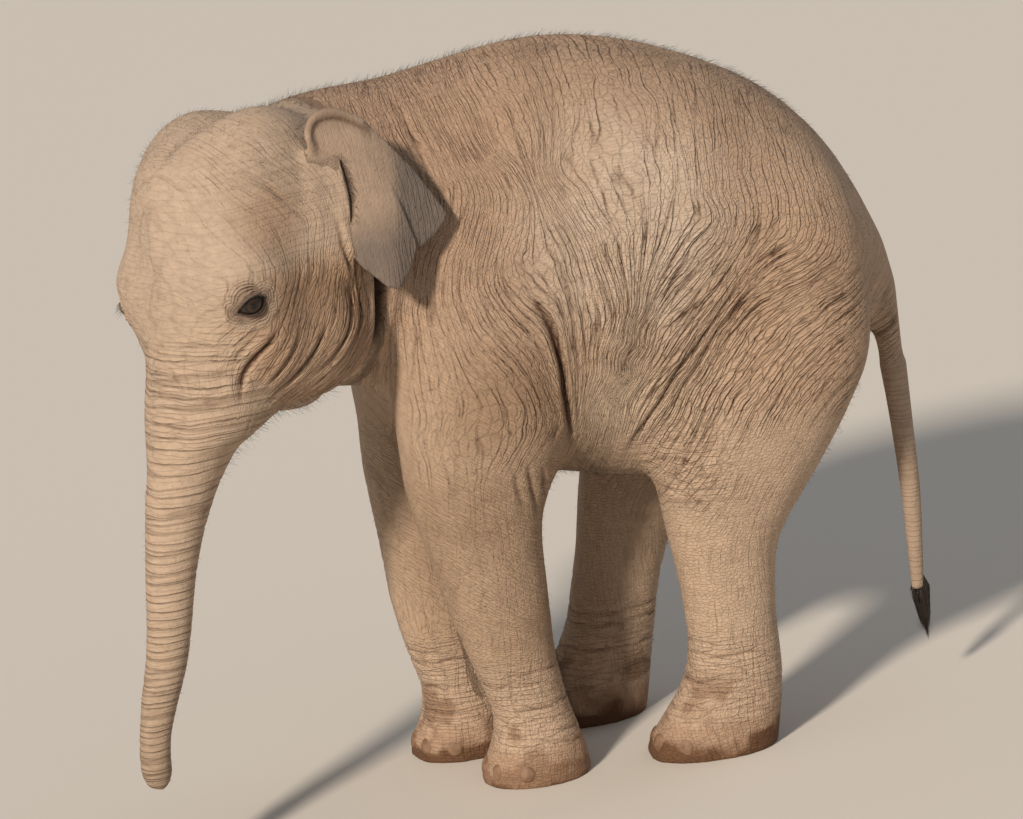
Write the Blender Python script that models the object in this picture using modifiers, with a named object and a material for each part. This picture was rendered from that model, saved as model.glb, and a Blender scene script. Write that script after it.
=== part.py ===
"""A young Asian elephant, standing still: the life-size figure a museum would show.

The calf stands on +Z up ground, its tail toward +X and its head toward -X, turned to its own left (-Y).
The figure is modelled as one form of overlapping masses, which are fused, relaxed and thinned to a light
mesh, and then parted with thin cuts where a person would name the parts.
"""

import math

import bmesh
import bpy
import numpy as np
from mathutils import Euler, Matrix, Vector

# ---------------------------------------------------------------- driving dimensions, in metres
BACK_HEIGHT = 1.172          # ground to the top of the back
BODY_WIDTH = 0.50            # across the belly
HEAD_CENTRE = Vector((-0.405, -0.205, 0.895))
HEAD_TURN = math.radians(36)  # the head's turn to the animal's left
HEAD_ROLL = math.radians(7)   # its left side carried higher
EYE_RADIUS = 0.0205
EYE_PLACE = (0.1235, 0.1425, -0.008)   # forward, sideways and up from the head's centre
EAR_THICKNESS = 0.008
EAR_ROOT = (-0.060, 0.160, 0.0)      # the same, for the ear's own origin
EAR_SPREAD = math.radians(18)        # how far the ear stands off the side of the head
GAP = 0.0003                 # left between neighbouring solids
FUSE_SIZE = 0.009            # cell of the fused form
FORM_TRIANGLES = (6000, 3600)   # of the fused form, first all over, then with the head left as it is
RELAX_ROUNDS = 40            # passes that blend the masses
RING_POINTS = 28             # points round each section of a mass
TUBE_POINTS = 16             # and of the trunk and tail
TUFT_POINTS = 10             # and of the tail's tuft
KNEE_HEIGHT = 0.330
FAR_FEET_PARTING = -0.047    # plane between the heel and the toe of the feet on the far side
STEPS = 2                    # sections between two stations of the trunk and tail
TRUNK_ROOT = 5               # section where the trunk leaves the head
TRUNK_JOINTS = (10, 18)      # sections where the trunk's lengths meet
TAIL_JOINTS = (6, 10)        # and those of the tail
NAIL_HEIGHT = 0.026          # a toenail's middle above the ground
NAIL_INSET = 0.97           # how far out the nail's middle lies, as a share of the foot
NAIL_SLOPE = math.radians(20)
FRONT_NAILS = (-72, -36, 0, 36, 72)   # degrees round the foot from its front
HIND_NAILS = (-54, -18, 18, 54)
JAW_PLACE = (-0.015, 0.0, -0.178)
JAW_SIZE = (0.088, 0.044, 0.036)

# The ear's outline, back from its root and up.
EAR_MIDDLE = (0.070, 0.100)
EAR_CROWN = 0.010            # how far the middle stands out of the ear's plane
EAR_OUTLINE = (
    (-0.018, 0.190), (-0.020, 0.222), (-0.006, 0.241), (0.015, 0.246), (0.042, 0.240),   # rolled top
    (0.074, 0.220), (0.110, 0.172), (0.140, 0.128), (0.163, 0.084),                     # rear edge
    (0.182, 0.040), (0.166, 0.021), (0.143, 0.006),                                     # rear lobe
    (0.117, -0.008), (0.102, -0.032), (0.078, -0.055), (0.060, -0.046),                  # lower lobe
    (0.030, -0.010), (0.006, 0.025), (-0.006, 0.070), (-0.008, 0.110), (-0.012, 0.150),  # root
)

# The tail's tuft: down from the tail's end, toward the rear, half across and half along.
TUFT_ROWS = (
    (0.000, 0.000, 0.008, 0.009), (0.012, 0.002, 0.011, 0.014), (0.040, 0.008, 0.013, 0.022),
    (0.068, 0.012, 0.012, 0.022), (0.086, 0.012, 0.008, 0.014), (0.096, 0.012, 0.004, 0.006),
)
NAIL_SIZE = (0.009, 0.019, 0.019)    # half depth, half width and half height of a toenail

SKIN_COLOUR = (0.30, 0.235, 0.175, 1)
NAIL_COLOUR = (0.20, 0.15, 0.11, 1)
EYE_COLOUR = (0.03, 0.018, 0.012, 1)
HAIR_COLOUR = (0.03, 0.022, 0.018, 1)

# The feet: centre of each sole on the ground.
FEET = {
    "front_left": (-0.050, -0.124),
    "front_right": (-0.144, 0.061),
    "hind_left": (0.240, -0.132),
    "hind_right": (0.066, 0.132),
}


# ---------------------------------------------------------------- helpers
def clear_scene():
    for obj in list(bpy.data.objects):
        bpy.data.objects.remove(obj)


def make_collection(name):
    collection = bpy.data.collections.new(name)
    bpy.context.scene.collection.children.link(collection)
    return collection


def make_material(name, colour, roughness):
    material = bpy.data.materials.new(name)
    material.use_nodes = True
    shader = material.node_tree.nodes["Principled BSDF"]
    shader.inputs["Base Color"].default_value = colour
    shader.inputs["Roughness"].default_value = roughness
    shader.inputs["Metallic"].default_value = 0.0
    material.diffuse_color = colour
    return material


def make_object(name, mesh, collection, material=None):
    obj = bpy.data.objects.new(name, mesh)
    collection.objects.link(obj)
    if material:
        mesh.materials.clear()
        mesh.materials.append(material)
    return obj


def apply_modifiers(obj):
    bpy.context.view_layer.update()
    graph = bpy.context.evaluated_depsgraph_get()
    mesh = bpy.data.meshes.new_from_object(obj.evaluated_get(graph), depsgraph=graph)
    obj.modifiers.clear()
    obj.data = mesh


def mesh_from(bm, name):
    bmesh.ops.recalc_face_normals(bm, faces=bm.faces)
    mesh = bpy.data.meshes.new(name)
    bm.to_mesh(mesh)
    bm.free()
    return mesh


def smoothstep(low, high, value):
    t = min(max((value - low) / (high - low), 0.0), 1.0)
    return t * t * (3 - 2 * t)


def spline(rows, steps):
    """Rows of numbers, each a station, joined by a Catmull-Rom curve with so many steps between two."""
    found = []
    last = len(rows) - 1
    for i in range(last):
        p0, p1, p2, p3 = rows[max(i - 1, 0)], rows[i], rows[i + 1], rows[min(i + 2, last)]
        for step in range(steps):
            t = step / steps
            found.append([
                0.5 * (2 * b + (c - a) * t + (2 * a - 5 * b + 4 * c - d) * t ** 2
                       + (3 * b - a - 3 * c + d) * t ** 3)
                for a, b, c, d in zip(p0, p1, p2, p3)
            ])
    found.append(list(rows[last]))
    return found


def section(centre, across, along, half_across, half_along, squareness=2.0, count=RING_POINTS):
    """Points of a rounded section: squareness 2 is an ellipse, and more is boxier."""
    points = []
    for k in range(count):
        angle = 2 * math.pi * k / count
        c, s = math.cos(angle), math.sin(angle)
        u = math.copysign(abs(c) ** (2 / squareness), c) * half_across
        v = math.copysign(abs(s) ** (2 / squareness), s) * half_along
        points.append(centre + across * u + along * v)
    return points


def loft(bm, rings):
    """A closed tube through rings of equal numbers of points."""
    rows = [[bm.verts.new(point) for point in ring] for ring in rings]
    for row, following in zip(rows, rows[1:]):
        for k in range(len(row)):
            j = (k + 1) % len(row)
            bm.faces.new((row[k], row[j], following[j], following[k]))
    bm.faces.new(rows[0])
    bm.faces.new(rows[-1])


def ellipsoid(bm, centre, radii, turn=None):
    shape = Matrix.Translation(centre) @ (turn or Euler()).to_matrix().to_4x4()
    shape = shape @ Matrix.Diagonal((*radii, 1.0))
    bmesh.ops.create_uvsphere(bm, u_segments=24, v_segments=16, radius=1.0, matrix=shape)


def head_frame(roll=HEAD_ROLL):
    """Rotation from the head's own axes (forward, left, up) to the world."""
    c, s = math.cos(HEAD_TURN), math.sin(HEAD_TURN)
    forward, left, up = Vector((-c, -s, 0)), Vector((s, -c, 0)), Vector((0, 0, 1))
    return Matrix((
        forward,
        left * math.cos(roll) + up * math.sin(roll),
        up * math.cos(roll) - left * math.sin(roll),
    )).transposed()


def head_vector(forward, side, up):
    return head_frame() @ Vector((forward, side, up))


def head_point(forward, side, up):
    """A place on the head: forward along the face, toward the animal's left, and up."""
    return HEAD_CENTRE + head_vector(forward, side, up)


def trunk_point(forward, side, up):
    """A place on the trunk, which turns with the head but hangs without its roll."""
    return HEAD_CENTRE + head_frame(0) @ Vector((forward, side, up))


# ---------------------------------------------------------------- masses of the body
def add_torso(bm):
    """Barrel of ribs and belly, from the base of the neck to the tail."""
    #    x     below BACK_HEIGHT  bottom  half width  squareness
    rows = [
        (-0.24, 0.054, 0.690, 0.110, 2.2),
        (-0.18, 0.034, 0.590, 0.150, 2.2),
        (-0.10, 0.022, 0.520, 0.185, 2.2),
        (0.00, 0.006, 0.480, 0.215, 2.2),
        (0.10, 0.000, 0.455, 0.238, 2.2),
        (0.20, 0.014, 0.440, BODY_WIDTH / 2, 2.2),
        (0.30, 0.045, 0.455, 0.247, 2.2),
        (0.40, 0.092, 0.490, 0.226, 2.2),
        (0.48, 0.150, 0.540, 0.192, 2.2),
        (0.545, 0.227, 0.590, 0.150, 2.1),
        (0.595, 0.322, 0.640, 0.098, 2.0),
        (0.622, 0.397, 0.690, 0.045, 2.0),
    ]
    rings = []
    for x, below, bottom, half_width, square in spline(rows, 3):
        top = BACK_HEIGHT - below
        centre = Vector((x, 0, (top + bottom) / 2))
        rings.append(section(centre, Vector((0, 1, 0)), Vector((0, 0, 1)), half_width,
                             (top - bottom) / 2, square))
    loft(bm, rings)


def add_shoulders(bm):
    for side, x in ((-1, -0.055), (1, -0.10)):
        ellipsoid(bm, (x, 0.120 * side, 0.800), (0.150, 0.105, 0.270), Euler((0, -0.15, 0)))
        ellipsoid(bm, (x - 0.015, 0.125 * side, 0.640), (0.140, 0.100, 0.170))


def add_haunches(bm):
    for side, x in ((-1, 0.370), (1, 0.300)):
        ellipsoid(bm, (x + 0.040, 0.110 * side, 0.760), (0.165, 0.120, 0.230), Euler((0, 0.15, 0)))
        ellipsoid(bm, (x - 0.030, 0.145 * side, 0.580), (0.145, 0.095, 0.180), Euler((0, 0.35, 0)))


def add_neck(bm):
    #    x      y      z      half width  half height
    rows = [
        (-0.04, 0.000, 0.860, 0.160, 0.270),
        (-0.15, -0.020, 0.888, 0.155, 0.255),
        (-0.235, -0.060, 0.908, 0.148, 0.245),
        (-0.31, -0.115, 0.918, 0.140, 0.235),
        (-0.37, -0.165, 0.925, 0.130, 0.215),
    ]
    stations = spline(rows, 3)
    rings = []
    for i, (x, y, z, half_width, half_height) in enumerate(stations):
        before, after = stations[max(i - 1, 0)], stations[min(i + 1, len(stations) - 1)]
        along = Vector((after[0] - before[0], after[1] - before[1], 0)).normalized()
        across = along.cross(Vector((0, 0, 1)))
        rings.append(section(Vector((x, y, z)), across, Vector((0, 0, 1)), half_width, half_height, 2.2))
    loft(bm, rings)


def add_leg(bm, rows):
    """A leg through level sections: height, front, rear, middle across, half width and squareness."""
    rings = []
    for z, front, rear, y, half_width, square in spline(rows, 3):
        centre = Vector(((front + rear) / 2, y, z))
        rings.append(section(centre, Vector((1, 0, 0)), Vector((0, 1, 0)), (rear - front) / 2,
                             half_width, square))
    loft(bm, rings)


def front_leg_rows(x, y, side, upright):
    """Sections of a front leg over its foot at (x, y). Upright moves the upper leg back or forward."""
    #        z     front   rear   outward  half width
    profile = [
        (-0.02, -0.090, 0.092, 0.000, 0.082),
        (0.02, -0.086, 0.090, 0.000, 0.082),
        (0.06, -0.066, 0.082, 0.000, 0.076),
        (0.11, -0.058, 0.068, 0.000, 0.067),
        (0.16, -0.072, 0.060, 0.000, 0.066),
        (0.22, -0.091, 0.055, 0.002, 0.069),
        (0.29, -0.111, 0.056, 0.004, 0.073),
        (0.37, -0.128, 0.057, 0.008, 0.080),
        (0.44, -0.147, 0.062, 0.014, 0.088),
        (0.51, -0.160, 0.094, 0.022, 0.096),
        (0.58, -0.160, 0.118, 0.030, 0.100),
        (0.68, -0.155, 0.120, 0.035, 0.098),
        (0.80, -0.120, 0.080, 0.030, 0.080),
    ]
    rows = []
    for z, front, rear, outward, half_width in profile:
        shift = upright * smoothstep(0.12, 0.60, z)
        rows.append((z, x + front + shift, x + rear + shift, y + side * outward, half_width, 2.2))
    return rows


def hind_leg_rows(x, y, side, upright):
    profile = [
        (-0.02, -0.110, 0.106, 0.000, 0.078),
        (0.02, -0.104, 0.112, 0.000, 0.078),
        (0.06, -0.076, 0.120, 0.000, 0.073),
        (0.11, -0.040, 0.128, 0.000, 0.068),
        (0.16, -0.024, 0.129, 0.000, 0.066),
        (0.22, -0.023, 0.128, 0.002, 0.068),
        (0.29, -0.028, 0.134, 0.005, 0.072),
        (0.35, -0.038, 0.148, 0.009, 0.080),
        (0.41, -0.045, 0.190, 0.014, 0.090),
        (0.48, -0.045, 0.240, 0.018, 0.100),
        (0.55, -0.030, 0.285, 0.018, 0.110),
        (0.63, -0.010, 0.326, 0.012, 0.112),
        (0.72, 0.030, 0.330, 0.000, 0.095),
        (0.80, 0.090, 0.300, -0.020, 0.060),
    ]
    rows = []
    for z, front, rear, outward, half_width in profile:
        shift = upright * smoothstep(0.05, 0.60, z)
        rows.append((z, x + front + shift, x + rear + shift, y + side * outward, half_width, 2.2))
    return rows


def add_legs(bm):
    add_leg(bm, front_leg_rows(*FEET["front_left"], -1, 0.0))
    add_leg(bm, front_leg_rows(*FEET["front_right"], 1, 0.055))
    add_leg(bm, hind_leg_rows(*FEET["hind_left"], -1, 0.0))
    add_leg(bm, hind_leg_rows(*FEET["hind_right"], 1, 0.118))


# ---------------------------------------------------------------- head and trunk
def add_skull(bm):
    """Level sections from the crown down to the root of the trunk, with domes, brows and cheeks on them."""
    #    up     front   rear   half width  squareness
    rows = [
        (-0.225, 0.228, 0.085, 0.074, 2.2),
        (-0.190, 0.218, 0.010, 0.090, 2.3),
        (-0.150, 0.206, -0.090, 0.108, 2.5),
        (-0.100, 0.194, -0.125, 0.126, 2.7),
        (-0.050, 0.184, -0.145, 0.142, 2.9),
        (0.000, 0.178, -0.155, 0.152, 3.0),
        (0.050, 0.172, -0.160, 0.154, 2.8),
        (0.100, 0.168, -0.160, 0.152, 2.6),
        (0.150, 0.162, -0.150, 0.146, 2.4),
        (0.200, 0.142, -0.125, 0.132, 2.3),
        (0.235, 0.108, -0.090, 0.105, 2.2),
        (0.255, 0.060, -0.050, 0.070, 2.0),
    ]
    turn = head_frame()
    rings = []
    for up, front, rear, half_width, square in spline(rows, 3):
        centre = head_point((front + rear) / 2, 0, up)
        forward, side = turn.col[0], turn.col[1]
        rings.append(section(centre, forward, side, (front - rear) / 2, half_width, square))
    loft(bm, rings)
    masses = []
    for side in (-1, 1):
        masses += [
            #  forward side         up      radii forward, side and up
            ((-0.010, 0.070 * side, 0.148), (0.130, 0.082, 0.130)),   # dome
            ((0.088, 0.104 * side, 0.018), (0.086, 0.070, 0.092)),    # brow
            ((0.080, 0.096 * side, -0.055), (0.090, 0.060, 0.085)),   # under the eye
            ((-0.075, 0.112 * side, 0.050), (0.070, 0.052, 0.110)),   # before the ear
            ((-0.020, 0.084 * side, -0.095), (0.120, 0.064, 0.104)),  # jaw muscle
        ]
    for centre, radii in masses:
        ellipsoid(bm, head_point(*centre), radii, turn.to_euler())


def trunk_stations():
    #   forward  up      half depth  half width
    rows = [
        (0.070, 0.020, 0.105, 0.105),
        (0.095, -0.060, 0.098, 0.105),
        (0.125, -0.130, 0.087, 0.096),
        (0.150, -0.185, 0.080, 0.086),
        (0.172, -0.235, 0.066, 0.070),
        (0.200, -0.295, 0.052, 0.055),
        (0.222, -0.357, 0.043, 0.046),
        (0.240, -0.423, 0.038, 0.040),
        (0.252, -0.480, 0.035, 0.037),
        (0.268, -0.540, 0.032, 0.034),
        (0.292, -0.596, 0.028, 0.030),
        (0.310, -0.647, 0.024, 0.026),
        (0.317, -0.690, 0.024, 0.026),
        (0.318, -0.715, 0.023, 0.023),
        (0.324, -0.732, 0.012, 0.015),
    ]
    return spline(rows, STEPS)


def trunk_rings(first, last):
    """Sections of the trunk between two of its stations, square to its middle line."""
    stations = trunk_stations()
    frame = head_frame(0)
    rings = []
    for i in range(first, last + 1):
        forward, up, half_depth, half_width = stations[i]
        before, after = stations[max(i - 1, 0)], stations[min(i + 1, len(stations) - 1)]
        along = (frame @ Vector((after[0] - before[0], 0, after[1] - before[1]))).normalized()
        side = frame.col[1]
        centre = trunk_point(forward, 0, up)
        rings.append(section(centre, side, side.cross(along), half_width, half_depth, count=TUBE_POINTS))
    return rings


def tail_stations():
    #   x      z      half across  half along
    rows = [
        (0.575, 0.780, 0.062, 0.052),
        (0.603, 0.715, 0.042, 0.038),
        (0.614, 0.650, 0.030, 0.028),
        (0.622, 0.560, 0.024, 0.022),
        (0.627, 0.450, 0.020, 0.018),
        (0.630, 0.340, 0.017, 0.016),
        (0.628, 0.250, 0.014, 0.013),
        (0.625, 0.170, 0.010, 0.010),
    ]
    return spline(rows, STEPS)


def tail_rings(first, last):
    across, along = Vector((0, 1, 0)), Vector((1, 0, 0))
    return [
        section(Vector((x, 0, z)), across, along, half_across, half_along, count=TUBE_POINTS)
        for x, z, half_across, half_along in tail_stations()[first:last + 1]
    ]


def add_trunk_root(bm):
    loft(bm, trunk_rings(0, TRUNK_JOINTS[0] + 1))


def add_tail_root(bm):
    loft(bm, tail_rings(0, TAIL_JOINTS[0] + 1))


def relax(mesh, rounds, softness):
    """Evens out a closed mesh. softness(places) says, from 0 to 1, how far each point may follow its neighbours."""
    places = np.empty(len(mesh.vertices) * 3)
    mesh.vertices.foreach_get("co", places)
    places = places.reshape(-1, 3)
    ends = np.empty(len(mesh.edges) * 2, dtype=np.int64)
    mesh.edges.foreach_get("vertices", ends)
    ends = ends.reshape(-1, 2)
    here = np.concatenate([ends[:, 0], ends[:, 1]])
    there = np.concatenate([ends[:, 1], ends[:, 0]])
    neighbours = np.bincount(here, minlength=len(places))[:, None]
    follow = softness(places)[:, None]
    for _ in range(rounds):
        total = np.stack([np.bincount(here, places[there, k], len(places)) for k in range(3)], axis=1)
        places = places + 0.5 * follow * (total / neighbours - places)
    mesh.vertices.foreach_set("co", places.ravel())
    mesh.update()


def softness_of_form(places):
    """Full where the masses are broad, and little on the feet, the trunk and the tail."""
    x, y, z = places.T
    legs = np.clip((z - 0.10) / 0.40, 0.12, 1.0)
    trunk = np.where((x < -0.40) & (z < 0.78), np.clip((z - 0.55) / 0.35, 0.06, 0.6), 1.0)
    tail = np.where((x > 0.585) & (z < 0.70) & (abs(y) < 0.06), 0.08, 1.0)
    return legs * trunk * tail


def fused_form(collection):
    """All the masses as one light closed mesh, which runs on below the ground until it is levelled."""
    bm = bmesh.new()
    for add in (add_torso, add_shoulders, add_haunches, add_neck, add_legs, add_skull, add_trunk_root,
                add_tail_root):
        add(bm)
    form = make_object("fused_form", mesh_from(bm, "fused_form"), collection)
    fuse = form.modifiers.new("Fuse", "REMESH")
    fuse.mode = "VOXEL"
    fuse.voxel_size = FUSE_SIZE
    apply_modifiers(form)
    relax(form.data, RELAX_ROUNDS, softness_of_form)
    mark_body(form)
    for group, target in zip(("", "body"), FORM_TRIANGLES):
        thin = form.modifiers.new("Thin", "DECIMATE")
        thin.ratio = target / sum(len(face.vertices) - 2 for face in form.data.polygons)
        thin.vertex_group = group
        apply_modifiers(form)
    return form


def mark_body(form):
    """A vertex group over all but the head, whose finer forms keep their faces."""
    group = form.vertex_groups.new(name="body")
    body = [vert.index for vert in form.data.vertices if vert.co.x > -0.22 or vert.co.z < 0.60]
    group.add(body, 1.0, "REPLACE")


# ---------------------------------------------------------------- parting
def wedge(x_range, y_range, z_low, z_tops):
    """A block between two heights. Its top slopes across, from the first to the second of z_tops."""
    bm = bmesh.new()
    rings = []
    for x in x_range:
        corners = [(y_range[0], z_low), (y_range[1], z_low), (y_range[1], z_tops[1]), (y_range[0], z_tops[0])]
        rings.append([Vector((x, y, z)) for y, z in corners])
    loft(bm, rings)
    return mesh_from(bm, "region")


def block_beyond(point, direction, width, depth, height=None):
    """A block whose near face is at the point and square to the direction."""
    bm = bmesh.new()
    direction = Vector(direction).normalized()
    across = direction.cross(Vector((0, 1, 0)) if abs(direction.z) > 0.7 else Vector((0, 0, 1))).normalized()
    upward = across.cross(direction)
    rings = []
    for along in (0, depth):
        rings.append([
            point + direction * along + across * u * width / 2 + upward * v * (height or width) / 2
            for u, v in ((-1, -1), (1, -1), (1, 1), (-1, 1))
        ])
    loft(bm, rings)
    return mesh_from(bm, "region")


def grown(mesh, distance):
    """A copy with every face moved out by the distance."""
    bm = bmesh.new()
    bm.from_mesh(mesh)
    bm.normal_update()
    places = {vert: vert.co + vert.normal * vert.calc_shell_factor() * distance for vert in bm.verts}
    for vert, place in places.items():
        vert.co = place
    larger = bpy.data.meshes.new("grown")
    bm.to_mesh(larger)
    bm.free()
    return larger


def combine(obj, mesh, operation, helpers):
    """Cuts the mesh from the object, or keeps only what is inside it."""
    cutter = make_object("cutter", mesh, helpers)
    boolean = obj.modifiers.new("Part", "BOOLEAN")
    boolean.operation = operation
    boolean.solver = "EXACT"
    boolean.object = cutter
    apply_modifiers(obj)
    bpy.data.objects.remove(cutter)


def drop_crumbs(obj):
    """Keeps only the largest loose piece."""
    bm = bmesh.new()
    bm.from_mesh(obj.data)
    bmesh.ops.remove_doubles(bm, verts=bm.verts, dist=0.00002)
    left = set(bm.verts)
    pieces = []
    while left:
        start = left.pop()
        piece, edge_of = {start}, [start]
        while edge_of:
            vert = edge_of.pop()
            for edge in vert.link_edges:
                other = edge.other_vert(vert)
                if other in left:
                    left.discard(other)
                    piece.add(other)
                    edge_of.append(other)
        pieces.append(piece)
    pieces.sort(key=len, reverse=True)
    crumbs = [vert for piece in pieces[1:] for vert in piece]
    bmesh.ops.delete(bm, geom=crumbs, context="VERTS")
    bm.to_mesh(obj.data)
    bm.free()


def part_off(form, name, region, collection, helpers):
    """Takes what lies inside the region off the form, as a node of its own, with a thin gap between."""
    piece = make_object(name, form.data.copy(), collection)
    combine(piece, region, "INTERSECT", helpers)
    combine(form, grown(region, GAP), "DIFFERENCE", helpers)
    drop_crumbs(piece)
    return piece


def part_trunk(form, collection, helpers):
    """The trunk's first length comes off the form, and the others follow it as tubes of their own."""
    stations = trunk_stations()
    frame = head_frame(0)
    for name, index in (("trunk_rest", TRUNK_JOINTS[0]), ("trunk_upper", TRUNK_ROOT)):
        forward, up = stations[index][:2]
        before, after = stations[index - 1], stations[index + 1]
        direction = frame @ Vector((after[0] - before[0], 0, after[1] - before[1]))
        region = block_beyond(trunk_point(forward, 0, up), direction, 0.24, 0.20)
        piece = part_off(form, name, region, collection, helpers)
        if name == "trunk_rest":
            bpy.data.objects.remove(piece)
    for name, first, last in (
        ("trunk_middle", TRUNK_JOINTS[0], TRUNK_JOINTS[1]),
        ("trunk_tip", TRUNK_JOINTS[1], len(stations) - 1),
    ):
        add_tube(name, trunk_rings(first, last), collection)


def add_tube(name, rings, collection):
    """A tube that starts a thin gap beyond its first ring."""
    start = sum(rings[0], Vector()) / len(rings[0])
    following = sum(rings[1], Vector()) / len(rings[1])
    step = (following - start).normalized() * GAP
    rings[0] = [point + step for point in rings[0]]
    bm = bmesh.new()
    loft(bm, rings)
    return make_object(name, mesh_from(bm, name), collection)


def part_head_and_neck(form, collection, helpers):
    region = block_beyond(head_point(-0.140, 0, 0.02), head_vector(1, 0, 0.05), 0.8, 0.5, 0.75)
    part_off(form, "head", region, collection, helpers)
    region = block_beyond(Vector((-0.230, -0.060, 0.945)), (-0.92, -0.39, 0), 0.8, 0.4, 0.62)
    part_off(form, "neck", region, collection, helpers)


def part_legs(form, collection, helpers):
    #  name, x range of lower and upper leg, inner y, outer y, top of the upper leg inside and outside
    legs = (
        ("front_left", (-0.30, 0.12), (-0.40, 0.085), -0.028, -0.40, 0.480, 0.780),
        ("front_right", (-0.30, FAR_FEET_PARTING), (-0.40, 0.050), -0.028, 0.40, 0.480, 0.780),
        ("hind_left", (0.10, 0.50), (0.180, 0.70), -0.010, -0.40, 0.450, 0.740),
        ("hind_right", (FAR_FEET_PARTING, 0.40), (0.068, 0.70), 0.010, 0.40, 0.450, 0.740),
    )
    for name, lower_x, upper_x, inner, outer, inside_top, outside_top in legs:
        spans = (
            ("lower_leg", lower_x, -0.05, (KNEE_HEIGHT, KNEE_HEIGHT)),
            ("upper_leg", upper_x, KNEE_HEIGHT, (inside_top, outside_top)),
        )
        for kind, x_range, low, tops in spans:
            region = wedge(x_range, (inner, outer), low, tops)
            part_off(form, f"{name}_{kind}", region, collection, helpers)


def part_tail(form, collection, helpers):
    """Below the root, which stays with the body, the tail hangs as tubes of its own."""
    stations = tail_stations()
    x, z = stations[TAIL_JOINTS[0]][:2]
    region = block_beyond(Vector((x, 0, z)), (0, 0, -1), 0.12, 0.20)
    rest = part_off(form, "tail_rest", region, collection, helpers)
    bpy.data.objects.remove(rest)
    for name, first, last in (
        ("tail", TAIL_JOINTS[0], TAIL_JOINTS[1]),
        ("tail_tip", TAIL_JOINTS[1], len(stations) - 1),
    ):
        add_tube(name, tail_rings(first, last), collection)
    x, z = stations[-1][:2]
    bm = bmesh.new()
    rings = []
    for down, ahead, half_across, half_along in TUFT_ROWS:
        centre = Vector((x + ahead, 0, z - GAP - down))
        rings.append(section(centre, Vector((0, 1, 0)), Vector((1, 0, 0)), half_across, half_along,
                             count=TUFT_POINTS))
    loft(bm, rings)
    make_object("tail_tuft", mesh_from(bm, "tail_tuft"), collection)


# ---------------------------------------------------------------- smaller parts
def ear_point(back, up, out, side):
    """A place on the ear: back from its root, up, and out of its plane, on the animal's left (1) or right (-1)."""
    forward = EAR_ROOT[0] - back * math.cos(EAR_SPREAD) + out * math.sin(EAR_SPREAD)
    sideways = EAR_ROOT[1] + back * math.sin(EAR_SPREAD) + out * math.cos(EAR_SPREAD)
    return head_point(forward, sideways * side, up)


def add_ear(name, side, collection):
    """A thin bent plate: rings between the middle of the ear and its outline, given a thickness."""
    middle_back, middle_up = EAR_MIDDLE
    bm = bmesh.new()
    centre = bm.verts.new(ear_point(middle_back, middle_up, EAR_CROWN, side))
    inner = None
    for reach in (0.35, 0.7, 1.0):
        ring = []
        for back, up in EAR_OUTLINE:
            place = (middle_back + (back - middle_back) * reach, middle_up + (up - middle_up) * reach)
            ring.append(bm.verts.new(ear_point(*place, EAR_CROWN * (1 - reach ** 2), side)))
        for k in range(len(ring)):
            j = (k + 1) % len(ring)
            if inner:
                bm.faces.new((inner[k], inner[j], ring[j], ring[k]))
            else:
                bm.faces.new((centre, ring[j], ring[k]))
        inner = ring
    ear = make_object(name, mesh_from(bm, name), collection)
    solid = ear.modifiers.new("Thickness", "SOLIDIFY")
    solid.thickness = EAR_THICKNESS
    solid.offset = 0
    apply_modifiers(ear)
    bm = bmesh.new()
    bm.from_mesh(ear.data)
    bmesh.ops.recalc_face_normals(bm, faces=bm.faces)
    bm.to_mesh(ear.data)
    bm.free()
    return ear


def add_eye(name, side, head, collection, helpers):
    forward, sideways, up = EYE_PLACE
    bm = bmesh.new()
    place = Matrix.Translation(head_point(forward, sideways * side, up))
    bmesh.ops.create_uvsphere(bm, u_segments=12, v_segments=7, radius=EYE_RADIUS, matrix=place)
    eye = make_object(name, mesh_from(bm, name), collection)
    combine(head, grown(eye.data, GAP), "DIFFERENCE", helpers)
    return eye


def add_jaw(head, collection, helpers):
    """The pointed lower lip, let into the underside of the head behind the trunk."""
    bm = bmesh.new()
    turn = (head_frame() @ Euler((0, math.radians(-12), 0)).to_matrix()).to_euler()
    shape = Matrix.Translation(head_point(*JAW_PLACE)) @ turn.to_matrix().to_4x4()
    shape = shape @ Matrix.Diagonal((*JAW_SIZE, 1.0))
    bmesh.ops.create_uvsphere(bm, u_segments=12, v_segments=7, radius=1.0, matrix=shape)
    jaw = make_object("lower_jaw", mesh_from(bm, "lower_jaw"), collection)
    combine(head, grown(jaw.data, GAP), "DIFFERENCE", helpers)
    return jaw


def trim(obj, others, helpers):
    """Cuts an object back to a thin gap from its neighbours."""
    for other in others:
        combine(obj, grown(other.data, GAP), "DIFFERENCE", helpers)
    drop_crumbs(obj)


def add_nails(foot_name, rows, angles, nodes, collection, helpers):
    """Toenails round the front of a foot, each the cap of an ellipsoid that shows outside the foot."""
    z = NAIL_HEIGHT
    lower, upper = rows[1], rows[2]
    t = (z - lower[0]) / (upper[0] - lower[0])
    front, rear, y, half_width = (lower[k] + (upper[k] - lower[k]) * t for k in (1, 2, 3, 4))
    for number, degrees in enumerate(angles, start=1):
        angle = math.radians(degrees)
        x = (front + rear) / 2 - math.cos(angle) * (rear - front) / 2 * NAIL_INSET
        place = Vector((x, y - math.sin(angle) * half_width * NAIL_INSET, z))
        bm = bmesh.new()
        shape = Matrix.Translation(place) @ Euler((0, 0, angle)).to_matrix().to_4x4()
        shape = shape @ Euler((0, NAIL_SLOPE, 0)).to_matrix().to_4x4() @ Matrix.Diagonal((*NAIL_SIZE, 1.0))
        bmesh.ops.create_uvsphere(bm, u_segments=8, v_segments=4, radius=1.0, matrix=shape)
        nail = make_object(f"{foot_name}_nail_{number}", mesh_from(bm, "nail"), collection)
        trim(nail, [nodes[f"{foot_name}_lower_leg"]], helpers)


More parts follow.
